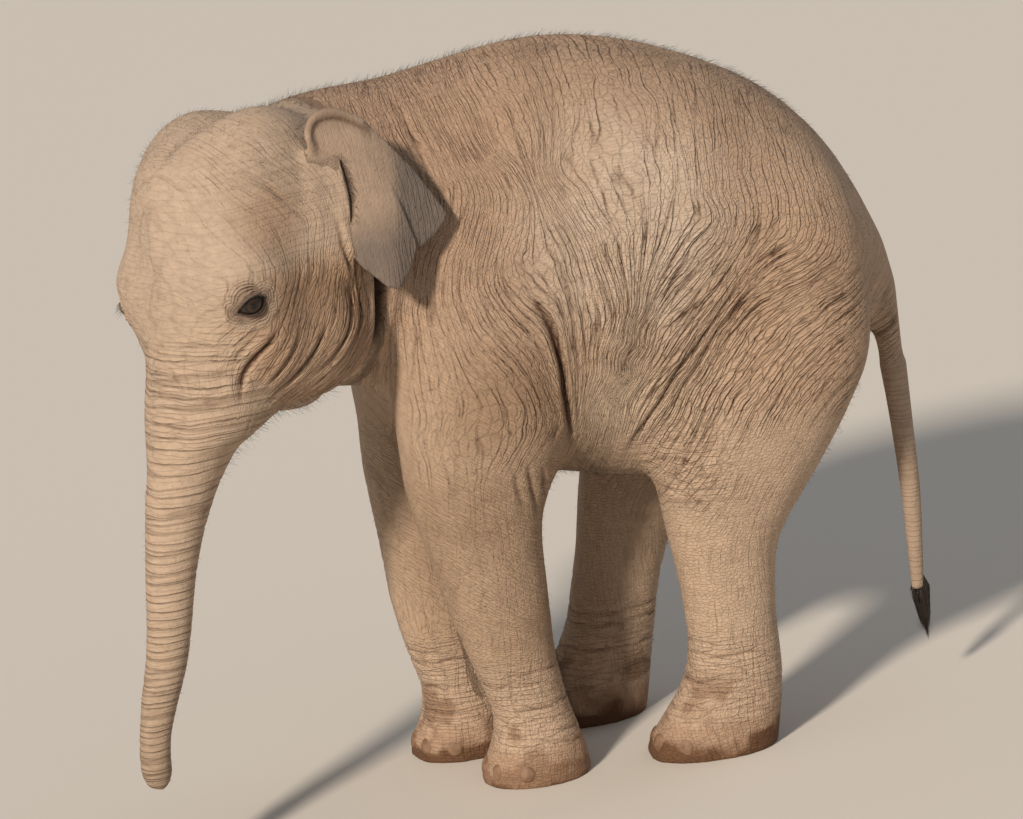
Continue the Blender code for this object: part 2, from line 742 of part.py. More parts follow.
def add_all_nails(nodes, collection, helpers):
    feet = (
        ("front_left", front_leg_rows, -1, FRONT_NAILS),
        ("front_right", front_leg_rows, 1, FRONT_NAILS),
        ("hind_left", hind_leg_rows, -1, HIND_NAILS),
        ("hind_right", hind_leg_rows, 1, HIND_NAILS),
    )
    for name, rows, side, angles in feet:
        add_nails(name, rows(*FEET[name], side, 0.0), angles, nodes, collection, helpers)


# ---------------------------------------------------------------- finish
def give_material(obj):
    """Each node's own material, by what it is made of."""
    kinds = (("eye", EYE_COLOUR, 0.10), ("nail", NAIL_COLOUR, 0.55), ("tuft", HAIR_COLOUR, 0.60))
    for kind, colour, roughness in kinds:
        if kind in obj.name:
            material = make_material(f"{obj.name}_surface", colour, roughness)
            break
    else:
        material = make_material(f"{obj.name}_skin", SKIN_COLOUR, 0.75)
    obj.data.materials.clear()
    obj.data.materials.append(material)


def centre_over_origin(collection):
    """Moves the whole figure so that the middle of its box stands over the origin."""
    corners = [vert.co for obj in collection.objects for vert in obj.data.vertices]
    middle_x = (min(co.x for co in corners) + max(co.x for co in corners)) / 2
    middle_y = (min(co.y for co in corners) + max(co.y for co in corners)) / 2
    for obj in collection.objects:
        obj.data.transform(Matrix.Translation((-middle_x, -middle_y, 0)))


def finish(collection):
    centre_over_origin(collection)
    for obj in collection.objects:
        obj.data.name = obj.name
        obj.data.shade_smooth()
        obj.data.set_sharp_from_angle(angle=math.radians(40))
        obj.vertex_groups.clear()
        give_material(obj)


def main():
    clear_scene()
    figure = make_collection("asian_elephant")
    helpers = make_collection("helpers")
    helpers.hide_render = True
    form = fused_form(figure)
    combine(form, wedge((-1, 1), (-1, 1), -0.2, (0, 0)), "DIFFERENCE", helpers)   # levels the soles
    part_trunk(form, figure, helpers)
    part_head_and_neck(form, figure, helpers)
    part_legs(form, figure, helpers)
    part_tail(form, figure, helpers)
    form.name = "body"
    drop_crumbs(form)
    nodes = {obj.name: obj for obj in figure.objects}
    add_jaw(nodes["head"], figure, helpers)
    for name, side in (("left", 1), ("right", -1)):
        add_eye(f"eye_{name}", side, nodes["head"], figure, helpers)
        ear = add_ear(f"ear_{name}", side, figure)
        trim(ear, [nodes["head"], nodes["neck"], nodes["body"]], helpers)
    add_all_nails(nodes, figure, helpers)
    finish(figure)


main()
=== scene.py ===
# %% [markdown]
# # A young Asian elephant, as a museum figure
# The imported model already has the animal's form, parted into head, trunk, legs and so on. Here it gets its
# looks: one skin over all of the flesh, with its folds and wrinkles, and then eyes, toenails, hair and dust.
# Everything is in metres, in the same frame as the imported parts. The animal faces -X, its left side is -Y,
# and it stands on the floor at Z = 0.

# %% Load the frame
import math

import bpy
import numpy as np
from mathutils import Matrix, Vector
from mathutils.bvhtree import BVHTree
from mathutils.geometry import barycentric_transform


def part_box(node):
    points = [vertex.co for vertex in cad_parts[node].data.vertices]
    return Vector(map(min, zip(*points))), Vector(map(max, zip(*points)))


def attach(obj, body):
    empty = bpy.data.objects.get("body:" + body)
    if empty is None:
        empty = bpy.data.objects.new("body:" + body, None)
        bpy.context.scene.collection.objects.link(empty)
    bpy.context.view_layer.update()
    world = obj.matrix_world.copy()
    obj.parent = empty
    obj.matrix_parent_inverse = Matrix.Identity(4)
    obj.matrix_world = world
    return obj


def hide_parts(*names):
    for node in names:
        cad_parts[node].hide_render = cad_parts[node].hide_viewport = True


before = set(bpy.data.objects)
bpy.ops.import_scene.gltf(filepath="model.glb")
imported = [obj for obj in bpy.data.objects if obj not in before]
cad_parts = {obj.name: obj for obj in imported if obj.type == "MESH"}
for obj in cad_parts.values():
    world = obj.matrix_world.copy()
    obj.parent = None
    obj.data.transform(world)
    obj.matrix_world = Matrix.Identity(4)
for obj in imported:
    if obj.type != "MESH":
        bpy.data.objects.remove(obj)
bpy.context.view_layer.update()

# %% [markdown]
# ## Small helpers
# An operator acts on all that is selected, so `choose` first selects only what is meant. Colours are written
# as sRGB hex values, as in a paint program, and Blender's shaders want linear ones, so one function turns them.

# %% Helpers for objects
def choose(*objects):
    bpy.ops.object.select_all(action="DESELECT")
    for obj in objects:
        obj.select_set(True)
    bpy.context.view_layer.objects.active = objects[0]


def apply_modifier(obj, kind, **settings):
    choose(obj)
    modifier = obj.modifiers.new(kind.title(), kind)
    for name, value in settings.items():
        setattr(modifier, name, value)
    bpy.ops.object.modifier_apply(modifier=modifier.name)


def read_all(items, name, width, kind=float):
    """One property of all the items, with a row for each."""
    values = np.empty(len(items) * width, dtype=kind)
    items.foreach_get(name, values)
    return values.reshape(-1, width)


def points_of(obj):
    return read_all(obj.data.vertices, "co", 3)


def set_points(obj, points):
    obj.data.vertices.foreach_set("co", points.ravel())
    obj.data.update()


def normals_of(obj):
    return read_all(obj.data.vertex_normals, "vector", 3)


def edit(obj, *steps):
    """Runs steps, each an operator and its settings, on all points of an object in edit mode."""
    choose(obj)
    bpy.ops.object.mode_set(mode="EDIT")
    bpy.ops.mesh.select_all(action="SELECT")
    for operator, settings in steps:
        operator(**settings)
    bpy.ops.object.mode_set(mode="OBJECT")


def shade_soft(obj):
    choose(obj)
    bpy.ops.object.shade_smooth()


def linear(hex_colour):
    channels = [int(hex_colour[k:k + 2], 16) / 255 for k in (1, 3, 5)]
    return [c / 12.92 if c <= 0.04045 else ((c + 0.055) / 1.055) ** 2.4 for c in channels] + [1.0]


# %% [markdown]
# ## Where things are
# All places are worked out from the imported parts. The head has a frame of its own, because it is turned and
# tilted: the line between the two eyes gives its side axis, and the rest follows. Its middle lies a little
# behind the eyes. Places on the head are then written as (forward, side, up) from that middle.

# %% Head, eye and ear frames
EYE_FORWARD, EYE_UP = 0.1235, -0.008      # the eyes, from the head's middle
EAR_BACK, EAR_SIDE = 0.060, 0.160        # the ear's root, behind and beside it
EAR_SPREAD = math.radians(18)            # how far the ear stands off the head
EAR_MID = 0.003                          # the middle of the ear's thickness, out of its plane

middle = {name: sum(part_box(name), Vector()) / 2 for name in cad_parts}
HEAD_SIDE = (middle["eye_left"] - middle["eye_right"]).normalized()
HEAD_FORWARD = HEAD_SIDE.cross(Vector((0, 0, 1))).normalized()
HEAD_UP = HEAD_FORWARD.cross(HEAD_SIDE)
HEAD_MIDDLE = ((middle["eye_left"] + middle["eye_right"]) / 2
               - HEAD_FORWARD * EYE_FORWARD - HEAD_UP * EYE_UP)
HEAD_TURN = np.array([HEAD_FORWARD, HEAD_SIDE, HEAD_UP])
EYE_SIDE = (middle["eye_left"] - middle["eye_right"]).length / 2
EYE_RADIUS = max(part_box("eye_left")[1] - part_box("eye_left")[0]) / 2
print("head at", HEAD_MIDDLE, "eye radius", round(EYE_RADIUS, 4))


def on_head(forward, side, up):
    return HEAD_MIDDLE + HEAD_FORWARD * forward + HEAD_SIDE * side + HEAD_UP * up


def head_places(points):
    """Forward, side and up from the head's middle, for every point."""
    return ((points - np.array(HEAD_MIDDLE)) @ HEAD_TURN.T).T


# %% [markdown]
# ## One skin from many parts
# A real animal has no seams, so copies of all the parts of flesh are joined and swelled by a hair's breadth,
# and a voxel remesh turns them into one closed mesh of even squares, as if they were pressed from clay. The
# eyes are joined in as well, so that the skin first closes over them. A few more ropes of clay go on each ear
# before that: its rolled rim, a filling where its root meets the head, and the small ridge before the ear hole.

# %% Clay: the parts of flesh and the ropes added to them
FULL_CELL = 0.0033
CELL = FULL_CELL
MERGE = 0.00001          # points closer than this are one
SWELL = 0.0004
FLESH = sorted(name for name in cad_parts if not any(word in name for word in ("nail", "eye", "tuft")))


def link(name, mesh):
    obj = bpy.data.objects.new(name, mesh)
    bpy.context.scene.collection.objects.link(obj)
    return obj


def mesh_of(name, points, faces):
    mesh = bpy.data.meshes.new(name)
    mesh.from_pydata([tuple(point) for point in points], [], faces)
    mesh.update()
    return link(name, mesh)


def curved(points, steps=6):
    """A smooth curve through given points, as an array of points."""
    points = [np.array(point, dtype=float) for point in points]
    ends = [2 * points[0] - points[1]] + points + [2 * points[-1] - points[-2]]
    found = []
    for a, b, c, d in zip(ends, ends[1:], ends[2:], ends[3:]):
        for t in np.arange(steps) / steps:
            found.append(0.5 * (2 * b + (c - a) * t + (2 * a - 5 * b + 4 * c - d) * t ** 2
                                + (3 * b - a - 3 * c + d) * t ** 3))
    return np.array(found + [points[-1]])


def rope(name, line, radii, count=8):
    """A closed tube along a line, with a radius at each end and in the middle."""
    line = np.array(line)
    along = np.gradient(line, axis=0)
    along /= np.linalg.norm(along, axis=1)[:, None]
    across = np.cross(along, np.array(HEAD_SIDE))
    across /= np.linalg.norm(across, axis=1)[:, None]
    other = np.cross(along, across)
    radius = np.interp(np.linspace(0, 1, len(line)), np.linspace(0, 1, len(radii)), radii)
    angles = 2 * math.pi * np.arange(count) / count
    rings = (line[:, None] + radius[:, None, None]
             * (across[:, None] * np.cos(angles)[:, None] + other[:, None] * np.sin(angles)[:, None]))
    faces = [
        (row * count + k, row * count + (k + 1) % count, (row + 1) * count + (k + 1) % count, (row + 1) * count + k)
        for row in range(len(line) - 1) for k in range(count)
    ]
    faces += [tuple(range(count)), tuple(len(line) * count - 1 - k for k in range(count))]
    obj = mesh_of(name, rings.reshape(-1, 3), faces)
    edit(obj, (bpy.ops.mesh.normals_make_consistent, {"inside": False}))
    return obj


def on_ear(back, up, out, side):
    """A place on an ear: back from its root, up, and out of its plane, on the animal's left (1) or right (-1)."""
    forward = -EAR_BACK - back * math.cos(EAR_SPREAD) + out * math.sin(EAR_SPREAD)
    sideways = EAR_SIDE + back * math.sin(EAR_SPREAD) + out * math.cos(EAR_SPREAD)
    return on_head(forward, sideways * side, up)


def ear_way(back, up, out, side):
    """A direction on an ear, in the same terms."""
    return on_ear(back, up, out, side) - on_ear(0, 0, 0, side)


clay = [link("clay_" + name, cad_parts[name].data.copy()) for name in FLESH + ["eye_left", "eye_right"]]
EAR_RIM = curved([(-0.020, 0.192), (-0.022, 0.216), (-0.008, 0.237), (0.016, 0.243), (0.046, 0.234), (0.078, 0.212)])
CANAL = curved([(0.023, 0.172), (0.029, 0.140), (0.030, 0.105), (0.020, 0.060)])
EAR_ROOT = curved([(-0.022, 0.190), (-0.027, 0.150), (-0.027, 0.100), (-0.022, 0.050), (-0.010, 0.010),
                   (0.004, -0.020)])
EAR_RIDGE = curved([(0.006, 0.168), (0.011, 0.140), (0.014, 0.110), (0.006, 0.080), (-0.006, 0.056)])
EAR_ROPES = (
    # name, line, out of the ear's plane, radii
    ("clay_rim", EAR_RIM, 0.010, (0.0055, 0.0075, 0.0070, 0.0050)),
    ("clay_root", EAR_ROOT, -0.004, (0.008, 0.015, 0.016, 0.013, 0.007)),
    ("clay_ridge", EAR_RIDGE, 0.004, (0.003, 0.007, 0.008, 0.004)),
)
for side in (1, -1):
    for name, line, out, radii in EAR_ROPES:
        clay.append(rope(name, [on_ear(back, up, out, side) for back, up in line], radii))
choose(*clay)
bpy.ops.object.join()
skin = clay[0]
skin.name = skin.data.name = "skin"
edit(skin, (bpy.ops.mesh.remove_doubles, {"threshold": MERGE}), (bpy.ops.transform.shrink_fatten, {"value": SWELL}))
apply_modifier(skin, "REMESH", mode="VOXEL", voxel_size=CELL)
print("skin has", len(skin.data.vertices), "points")

# %% [markdown]
# ## Settle the clay
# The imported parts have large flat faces. Each point of the skin now moves toward the middle of its neighbours,
# again and again, until the faces melt together. Thin forms would melt away, so the ears, the trunk's tip, the
# tail and the feet follow their neighbours only a little.

# %% Settle the clay
def step(low, high, values):
    """From 0 at low to 1 at high, with soft ends."""
    t = np.clip((values - low) / (high - low), 0, 1)
    return t * t * (3 - 2 * t)


def fall(low, high, values):
    """From 1 at low to 0 at high."""
    return 1 - step(low, high, values)


def neighbours_of(obj):
    """The two ends of every edge, written both ways round."""
    first, second = read_all(obj.data.edges, "vertices", 2, np.int64).T
    return np.concatenate([first, second]), np.concatenate([second, first])


def spread(values, neighbours, rounds, follow=0.8):
    """Evens out numbers or places kept on the points of a mesh."""
    here, there = neighbours
    values = values.reshape(len(values), -1).copy()
    count = np.bincount(here, minlength=len(values))[:, None]
    for _ in range(rounds):
        total = np.stack([np.bincount(here, column[there], len(values)) for column in values.T], axis=1)
        values += follow * (total / count - values)
    return values


def near_ear(points, side):
    """Back, up and out in an ear's plane, for every point."""
    forward, sideways, up = head_places(points)
    forward, sideways = forward + EAR_BACK, sideways * side - EAR_SIDE
    cos, sin = math.cos(EAR_SPREAD), math.sin(EAR_SPREAD)
    return sideways * sin - forward * cos, up, sideways * cos + forward * sin


def in_slab(place, reach, front, top=0.26):
    """True for places, as near_ear gives them, within reach of an ear's plane and inside its outline."""
    back, up, out = place
    return (abs(out - EAR_MID) < reach) & (back > front) & (back < 0.20) & (up > -0.07) & (up < top)


def in_boxes(points, names, margin=0.004):
    """1 for points inside the boxes of these parts, else 0."""
    found = np.zeros(len(points))
    for name in names:
        low, high = (np.array(corner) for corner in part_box(name))
        found[np.all((points > low - margin) & (points < high + margin), axis=1)] = 1
    return found


def tree_of(mesh):
    return BVHTree.FromPolygons([point.co for point in mesh.vertices], [face.vertices for face in mesh.polygons])


def on_ears(points):
    """1 on the thin flap of either ear, and 0 elsewhere."""
    found = np.zeros(len(points))
    others = [tree_of(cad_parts[name].data) for name in ("head", "neck")]
    for side, name in ((1, "ear_left"), (-1, "ear_right")):
        ear_tree = tree_of(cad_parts[name].data)
        for index in np.flatnonzero(in_slab(near_ear(points, side), 0.022, -0.04)):
            place = Vector(points[index])
            away = ear_tree.find_nearest(place)[3]
            found[index] = away < 0.008 and away < min(tree.find_nearest(place)[3] for tree in others)
    return found


def before_slit(points):
    """1 where an ear grows out of the head, before its slit and under its rim, and 0 elsewhere."""
    found = np.zeros(len(points))
    for side in (1, -1):
        back, up, out = near_ear(points, side)
        slit_back = np.interp(up, CANAL[::-1, 1], CANAL[::-1, 0])
        here = fall(-0.006, 0.002, back - slit_back) * fall(0.160, 0.185, up)
        found = np.maximum(found, here * (abs(out) < 0.03) * (back > -0.06) * (up > -0.06))
    return found


SETTLE_ROUNDS = round(45 * (FULL_CELL / CELL) ** 2)
SLIT_TOP = 0.172         # where the ear's slit ends, up from the head's middle
SOLE = 0.004             # points under this height stay flat on the floor
start = points_of(skin)
neighbours = neighbours_of(skin)
soft = np.ones(len(start))
soft *= 1 - 0.96 * in_boxes(start, ["tail", "tail_tip"]) - 0.9 * on_ears(start) * (1 - before_slit(start))
soft *= np.where(in_boxes(start, ["trunk_middle", "trunk_tip"]) > 0, 0.25, 1.0)
soft *= 0.15 + 0.85 * step(0.03, 0.12, start[:, 2])
soft = spread(np.clip(soft, 0.04, 1), neighbours, 7)
settled = start.copy()
for _ in range(SETTLE_ROUNDS):
    settled += soft * (spread(settled, neighbours, 1, 1.0) - settled) * 0.8
for side in (1, -1):
    back, up, out = near_ear(settled, side)
    corner = np.exp(-(back ** 2 + (up - SLIT_TOP) ** 2) / 0.024 ** 2) * (abs(out) < 0.04)
    settled += corner[:, None] * (spread(settled, neighbours, 16) - settled)
settled[:, 2] = np.where(start[:, 2] < SOLE, start[:, 2], settled[:, 2])
set_points(skin, settled)
print("settled by", round(1000 * np.linalg.norm(settled - start, axis=1).mean(), 2), "mm")

# %% [markdown]
# ## Seeded randomness
# Nothing in skin is regular. `grain` gives smooth random hills of a chosen size, from a fixed seed, so that
# the figure comes out the same each time.

# %% Random hills
LATTICE = np.random.default_rng(11).random((32, 32, 32))


def grain(points, size, seed=0):
    """Smooth random values from -1 to 1, whose hills are about the size across."""
    places = points / size + seed * 7.31
    whole = np.floor(places).astype(np.int64)
    part = places - whole
    part = part * part * (3 - 2 * part)
    total = np.zeros(len(points))
    for corner in np.ndindex(2, 2, 2):
        i, j, k = ((whole + corner) & 31).T
        weight = np.ones(len(points))
        for axis, far_end in enumerate(corner):
            weight *= part[:, axis] if far_end else 1 - part[:, axis]
        total += weight * LATTICE[i, j, k]
    return total * 2 - 1


# %% [markdown]
# ## Forms under the skin
# Bone and muscle show as broad, soft swells and hollows. Each is a place, a size and a height in the skin's
# own outward direction, on both sides of the head or body.

# %% Swells and hollows
def swell(points, normals, middle, radii, height, turn=None):
    """Moves the skin out, or in if the height is negative, round a place."""
    away = points - np.array(middle)
    if turn is not None:
        away = away @ turn.T
    away = away / np.array(radii)
    return points + normals * (height * np.exp(-(away ** 2).sum(axis=1)))[:, None]


HEAD_FORMS = (
    # forward, side, up      radii               height
    ((0.035, 0.135, 0.075), (0.050, 0.05, 0.045), -0.008),    # temple
    ((0.120, 0.125, 0.038), (0.036, 0.04, 0.020), 0.006),     # brow
    ((0.150, 0.105, -0.080), (0.035, 0.04, 0.045), -0.007),   # before and under the eye
    ((0.060, 0.120, -0.115), (0.045, 0.05, 0.045), 0.006),    # cheek
    ((-0.040, 0.140, 0.010), (0.060, 0.04, 0.018), 0.004),    # cheek bone
    ((0.030, 0.000, 0.245), (0.090, 0.020, 0.060), -0.007),   # groove between the domes
    ((0.150, 0.000, 0.120), (0.060, 0.022, 0.100), 0.003),    # ridge down the forehead
    ((0.150, 0.060, 0.110), (0.060, 0.030, 0.060), -0.003),   # flat of the forehead
)
BODY_FORMS = (
    #  x, half y, z          radii               height
    ((0.085, 0.20, 0.840), (0.045, 0.10, 0.130), -0.009),     # behind the shoulder blade
    ((0.108, 0.20, 0.720), (0.034, 0.10, 0.100), -0.011),     # behind the upper leg
    ((0.020, 0.20, 0.720), (0.040, 0.10, 0.100), 0.006),      # muscle of the upper leg
    ((0.190, 0.20, 0.610), (0.045, 0.10, 0.060), -0.007),     # flank before the thigh
    ((-0.060, 0.16, 0.930), (0.050, 0.10, 0.090), 0.005),     # shoulder blade
    ((0.345, 0.17, 1.020), (0.045, 0.08, 0.040), 0.007),      # point of the hip
    ((0.245, 0.22, 0.900), (0.060, 0.10, 0.080), -0.007),     # hollow before the hip
    ((0.250, 0.15, 0.535), (0.050, 0.10, 0.050), 0.008),      # knee
    ((0.200, 0.00, 1.170), (0.300, 0.018, 0.060), 0.003),     # spine
)
points, normals = points_of(skin), normals_of(skin)
for (forward, beside, up), radii, height in HEAD_FORMS:
    for side in (1, -1):
        points = swell(points, normals, on_head(forward, beside * side, up), radii, height, HEAD_TURN)
spine_y = sum(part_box("body")[k].y for k in (0, 1)) / 2
for (x, beside, z), radii, height in BODY_FORMS:
    for side in (1, -1):
        points = swell(points, normals, (x, spine_y - beside * side, z), radii, height)
set_points(skin, points)
print("forms", len(HEAD_FORMS) + len(BODY_FORMS))

# %% [markdown]
# ## Lines that the skin folds along
# Skin folds along lines that follow from how the animal moves: down the neck, round the shoulder, from the
# flank forward and up, across the haunch. Each line below is a curve in side view, with a value that grows
# from the neck to the tail. A thin-plate surface through the values gives every point of the skin a value of
# its own, and folds and wrinkles then follow the lines of equal value. The head has lines of its own.

# %% Fold lines
BODY_LINES = (
    # value, then x and z down the line
    (-0.190, ((-0.140, 1.178), (-0.119, 1.095), (-0.097, 1.025))),                      # neck
    (-0.150, ((-0.102, 1.164), (-0.079, 1.098), (-0.045, 0.986))),
    (-0.035, ((-0.008, 1.123), (0.023, 1.034), (0.056, 0.975))),                        # shoulder blade
    (-0.055, ((0.005, 0.847), (0.055, 0.776), (0.075, 0.700), (0.078, 0.594))),         # behind the upper leg
    (-0.025, ((0.060, 0.894), (0.093, 0.802), (0.098, 0.687))),
    (0.000, ((0.053, 1.081), (0.074, 0.977), (0.113, 0.858), (0.120, 0.744))),          # ribs
    (0.050, ((0.099, 1.005), (0.151, 0.875), (0.169, 0.759))),
    (0.110, ((0.239, 1.020), (0.226, 0.887), (0.181, 0.711), (0.128, 0.600))),
    (0.165, ((0.330, 0.898), (0.226, 0.784), (0.153, 0.633))),
    (0.270, ((0.450, 0.868), (0.343, 0.763), (0.264, 0.665), (0.199, 0.581), (0.165, 0.496))),    # flank
    (0.305, ((0.485, 0.826), (0.358, 0.752), (0.261, 0.633))),                          # haunch
    (0.385, ((0.574, 0.760), (0.457, 0.713), (0.352, 0.623), (0.310, 0.568))),
    (0.435, ((0.573, 0.711), (0.463, 0.655), (0.378, 0.570), (0.308, 0.445))),
    (0.490, ((0.550, 0.642), (0.464, 0.585), (0.385, 0.482), (0.345, 0.418))),
    (0.200, ((0.370, 1.070), (0.360, 0.980), (0.350, 0.930))),                          # loin and croup
    (0.290, ((0.470, 1.010), (0.475, 0.940))),
    (0.370, ((0.560, 0.930), (0.572, 0.860))),
    (-0.170, ((-0.100, 0.600), (-0.100, 0.300), (-0.100, 0.050))),                      # down the legs
    (-0.080, ((0.000, 0.500), (0.000, 0.300), (0.000, 0.050))),
    (0.370, ((0.190, 0.380), (0.190, 0.200), (0.190, 0.050))),
    (0.480, ((0.300, 0.350), (0.300, 0.200), (0.300, 0.050))),
)
HEAD_LINES = (
    # value, then forward and up from the head's middle
    (0.000, ((0.064, -0.025), (0.093, -0.067), (0.129, -0.097), (0.144, -0.133), (0.138, -0.181))),    # cheek
    (0.035, ((0.010, -0.017), (0.034, -0.057), (0.058, -0.093), (0.087, -0.129), (0.111, -0.158))),
    (0.080, ((-0.037, -0.021), (-0.019, -0.068), (0.010, -0.104), (0.052, -0.140), (0.099, -0.172))),
    (0.120, ((-0.066, -0.014), (-0.072, -0.057), (-0.060, -0.097), (-0.013, -0.133), (0.040, -0.161))),
    (0.145, ((-0.090, -0.003), (-0.096, -0.057), (-0.090, -0.097), (-0.049, -0.133))),
    (0.175, ((-0.119, -0.003), (-0.125, -0.057), (-0.119, -0.093), (-0.090, -0.122))),
    (0.020, ((0.081, 0.199), (0.010, 0.119), (-0.013, 0.091))),                         # temple
    (-0.060, ((0.160, 0.200), (0.170, 0.100), (0.180, 0.000))),                         # forehead
)


def bend(squares):
    """The thin-plate kernel, of squared distances."""
    return 0.5 * squares * np.log(np.maximum(squares, 1e-12))


def field(lines, places, gap=0.006):
    """The value at each place, from a thin plate through the lines and their values, worked out on a grid."""
    samples = [(value, curved(line, 3)) for value, line in lines]
    knots = np.concatenate([line for _, line in samples])
    values = np.concatenate([np.full(len(line), value) for value, line in samples])
    flat = np.column_stack([np.ones(len(knots)), knots])
    kernel = bend(((knots[:, None] - knots[None]) ** 2).sum(axis=2)) + SLACK * np.eye(len(knots))
    system = np.block([[kernel, flat], [flat.T, np.zeros((3, 3))]])
    weights = np.linalg.solve(system, np.concatenate([values, np.zeros(3)]))
    low = places.min(axis=0) - gap
    across, up = (low[k] + gap * np.arange(int(np.ptp(places[:, k]) / gap) + 4) for k in (0, 1))
    grid = np.stack(np.meshgrid(across, up, indexing="ij"), axis=-1)
    heights = weights[-3] + grid @ weights[-2:]
    for knot, weight in zip(knots, weights):
        heights += weight * bend(((grid - knot) ** 2).sum(axis=2))
    cell = (places - low) / gap
    whole = cell.astype(np.int64)
    (i, j), (s, t) = whole.T, (cell - whole).T
    return ((heights[i, j] * (1 - s) + heights[i + 1, j] * s) * (1 - t)
            + (heights[i, j + 1] * (1 - s) + heights[i + 1, j + 1] * s) * t)


SLACK = 1e-4             # how little the surface has to meet each value exactly
FAR_SHIFT = 0.050        # how much further forward the far side's legs and folds stand
points, normals = points_of(skin), normals_of(skin)
x, y, z = points.T
forward, beside, up = head_places(points)
far = step(-0.02, 0.08, y - spine_y)
body_value = field(BODY_LINES, np.column_stack([x + FAR_SHIFT * far, z]))
head_value = field(HEAD_LINES, np.column_stack([forward, up]))
for name, values in (("body", body_value), ("head", head_value)):
    print(name, "values from", values.min().round(3), "to", values.max().round(3))

# %% [markdown]
# ## Regions
# Masks from 0 to 1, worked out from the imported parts' boxes and from simple distances. They say where each kind
# of fold belongs, and later where each colour does.

# %% Regions of the skin
def ball(points, middle, radius, edge):
    """1 within the radius of a place, falling to 0 over the edge."""
    away = np.linalg.norm(points - np.array(middle), axis=1)
    return fall(radius, radius + edge, away)


def disc(points, x, z, radius, edge):
    """The same in side view, whatever the points' Y."""
    return ball(points * (1, 0, 1), (x, 0, z), radius, edge)


neighbours = neighbours_of(skin)
ear = spread(on_ears(points), neighbours, 3)[:, 0]
trunk = spread(in_boxes(points, ["trunk_middle", "trunk_tip", "trunk_upper"], 0.002), neighbours, 12)[:, 0]
tail = spread(in_boxes(points, ["tail", "tail_tip"], 0.002), neighbours, 4)[:, 0]
on_skull = spread(in_boxes(points, ["head"], 0.001) * (beside > -0.3), neighbours, 10)[:, 0]
ear_root = ear * before_slit(points)
ear = ear - ear_root
on_skull = np.maximum(on_skull * step(-0.165, -0.125, forward) * (1 - ear), ear_root)
leg = fall(0.50, 0.60, z) * (1 - trunk) * (1 - tail) * (1 - on_skull)
leg *= 1 - np.exp(-((x + FAR_SHIFT * far - 0.105) / 0.035) ** 4) * step(0.40, 0.46, z)
front = fall(0.06, 0.13, x + FAR_SHIFT * far)
torso = (1 - leg) * (1 - on_skull) * (1 - trunk) * (1 - ear) * (1 - tail)
side_on = step(0.15, 0.55, abs(normals[:, 1]))
eyes = sum(ball(points, on_head(EYE_FORWARD, EYE_SIDE * side, EYE_UP), 0.034, 0.020) for side in (1, -1))
for name, mask in (("ear", ear), ("trunk", trunk), ("tail", tail), ("skull", on_skull), ("leg", leg),
                   ("torso", torso)):
    print(name, "covers", round(float(mask.mean()), 3))

# %% [markdown]
# ## Folds
# A fold is a valley with a soft swell on each side. First come the great folds, each along a line of its own:
# behind the shoulder, in the armpit, down the flank, at the knee and elbow, on the neck, down the cheek and
# before the ear. Then come ranks of lesser folds, which follow the lines' values, wander a little and fade in
# and out.

# %% Great folds
def from_line(places, line):
    """Distance from a line in a flat view, and how far along it the nearest point lies, from 0 to 1."""
    nearest = np.full(len(places), 9.0)
    along = np.zeros(len(places))
    total = len(line) - 1
    for k, (a, b) in enumerate(zip(line, line[1:])):
        t = np.clip(((places - a) @ (b - a)) / ((b - a) @ (b - a)), 0, 1)
        away = np.linalg.norm(places - a - t[:, None] * (b - a), axis=1)
        closer = away < nearest
        nearest[closer] = away[closer]
        along[closer] = (k + t[closer]) / total
    return nearest, along


def valley(away, along, depth, width):
    """The height of a fold: a deep crease with a swell on each side, fading at its ends."""
    ends = step(0.0, 0.38, np.minimum(along, 1 - along))
    crease = np.exp(-(away / width) ** 1.3)
    swells = 0.45 * np.exp(-((away - 2.2 * width) / (1.3 * width)) ** 2)
    return depth * ends * (swells - crease)


def add_fold(heights, places, line, depth, width, strength):
    """Adds one fold to the heights, where it is near and the strength isn't nought."""
    line = curved(line, 4)
    low, high = line.min(axis=0) - 5.5 * width, line.max(axis=0) + 5.5 * width
    near = np.flatnonzero(np.all((places > low) & (places < high), axis=1) & (strength > 0.01))
    heights[near] += valley(*from_line(places[near], line), depth, width) * strength[near]


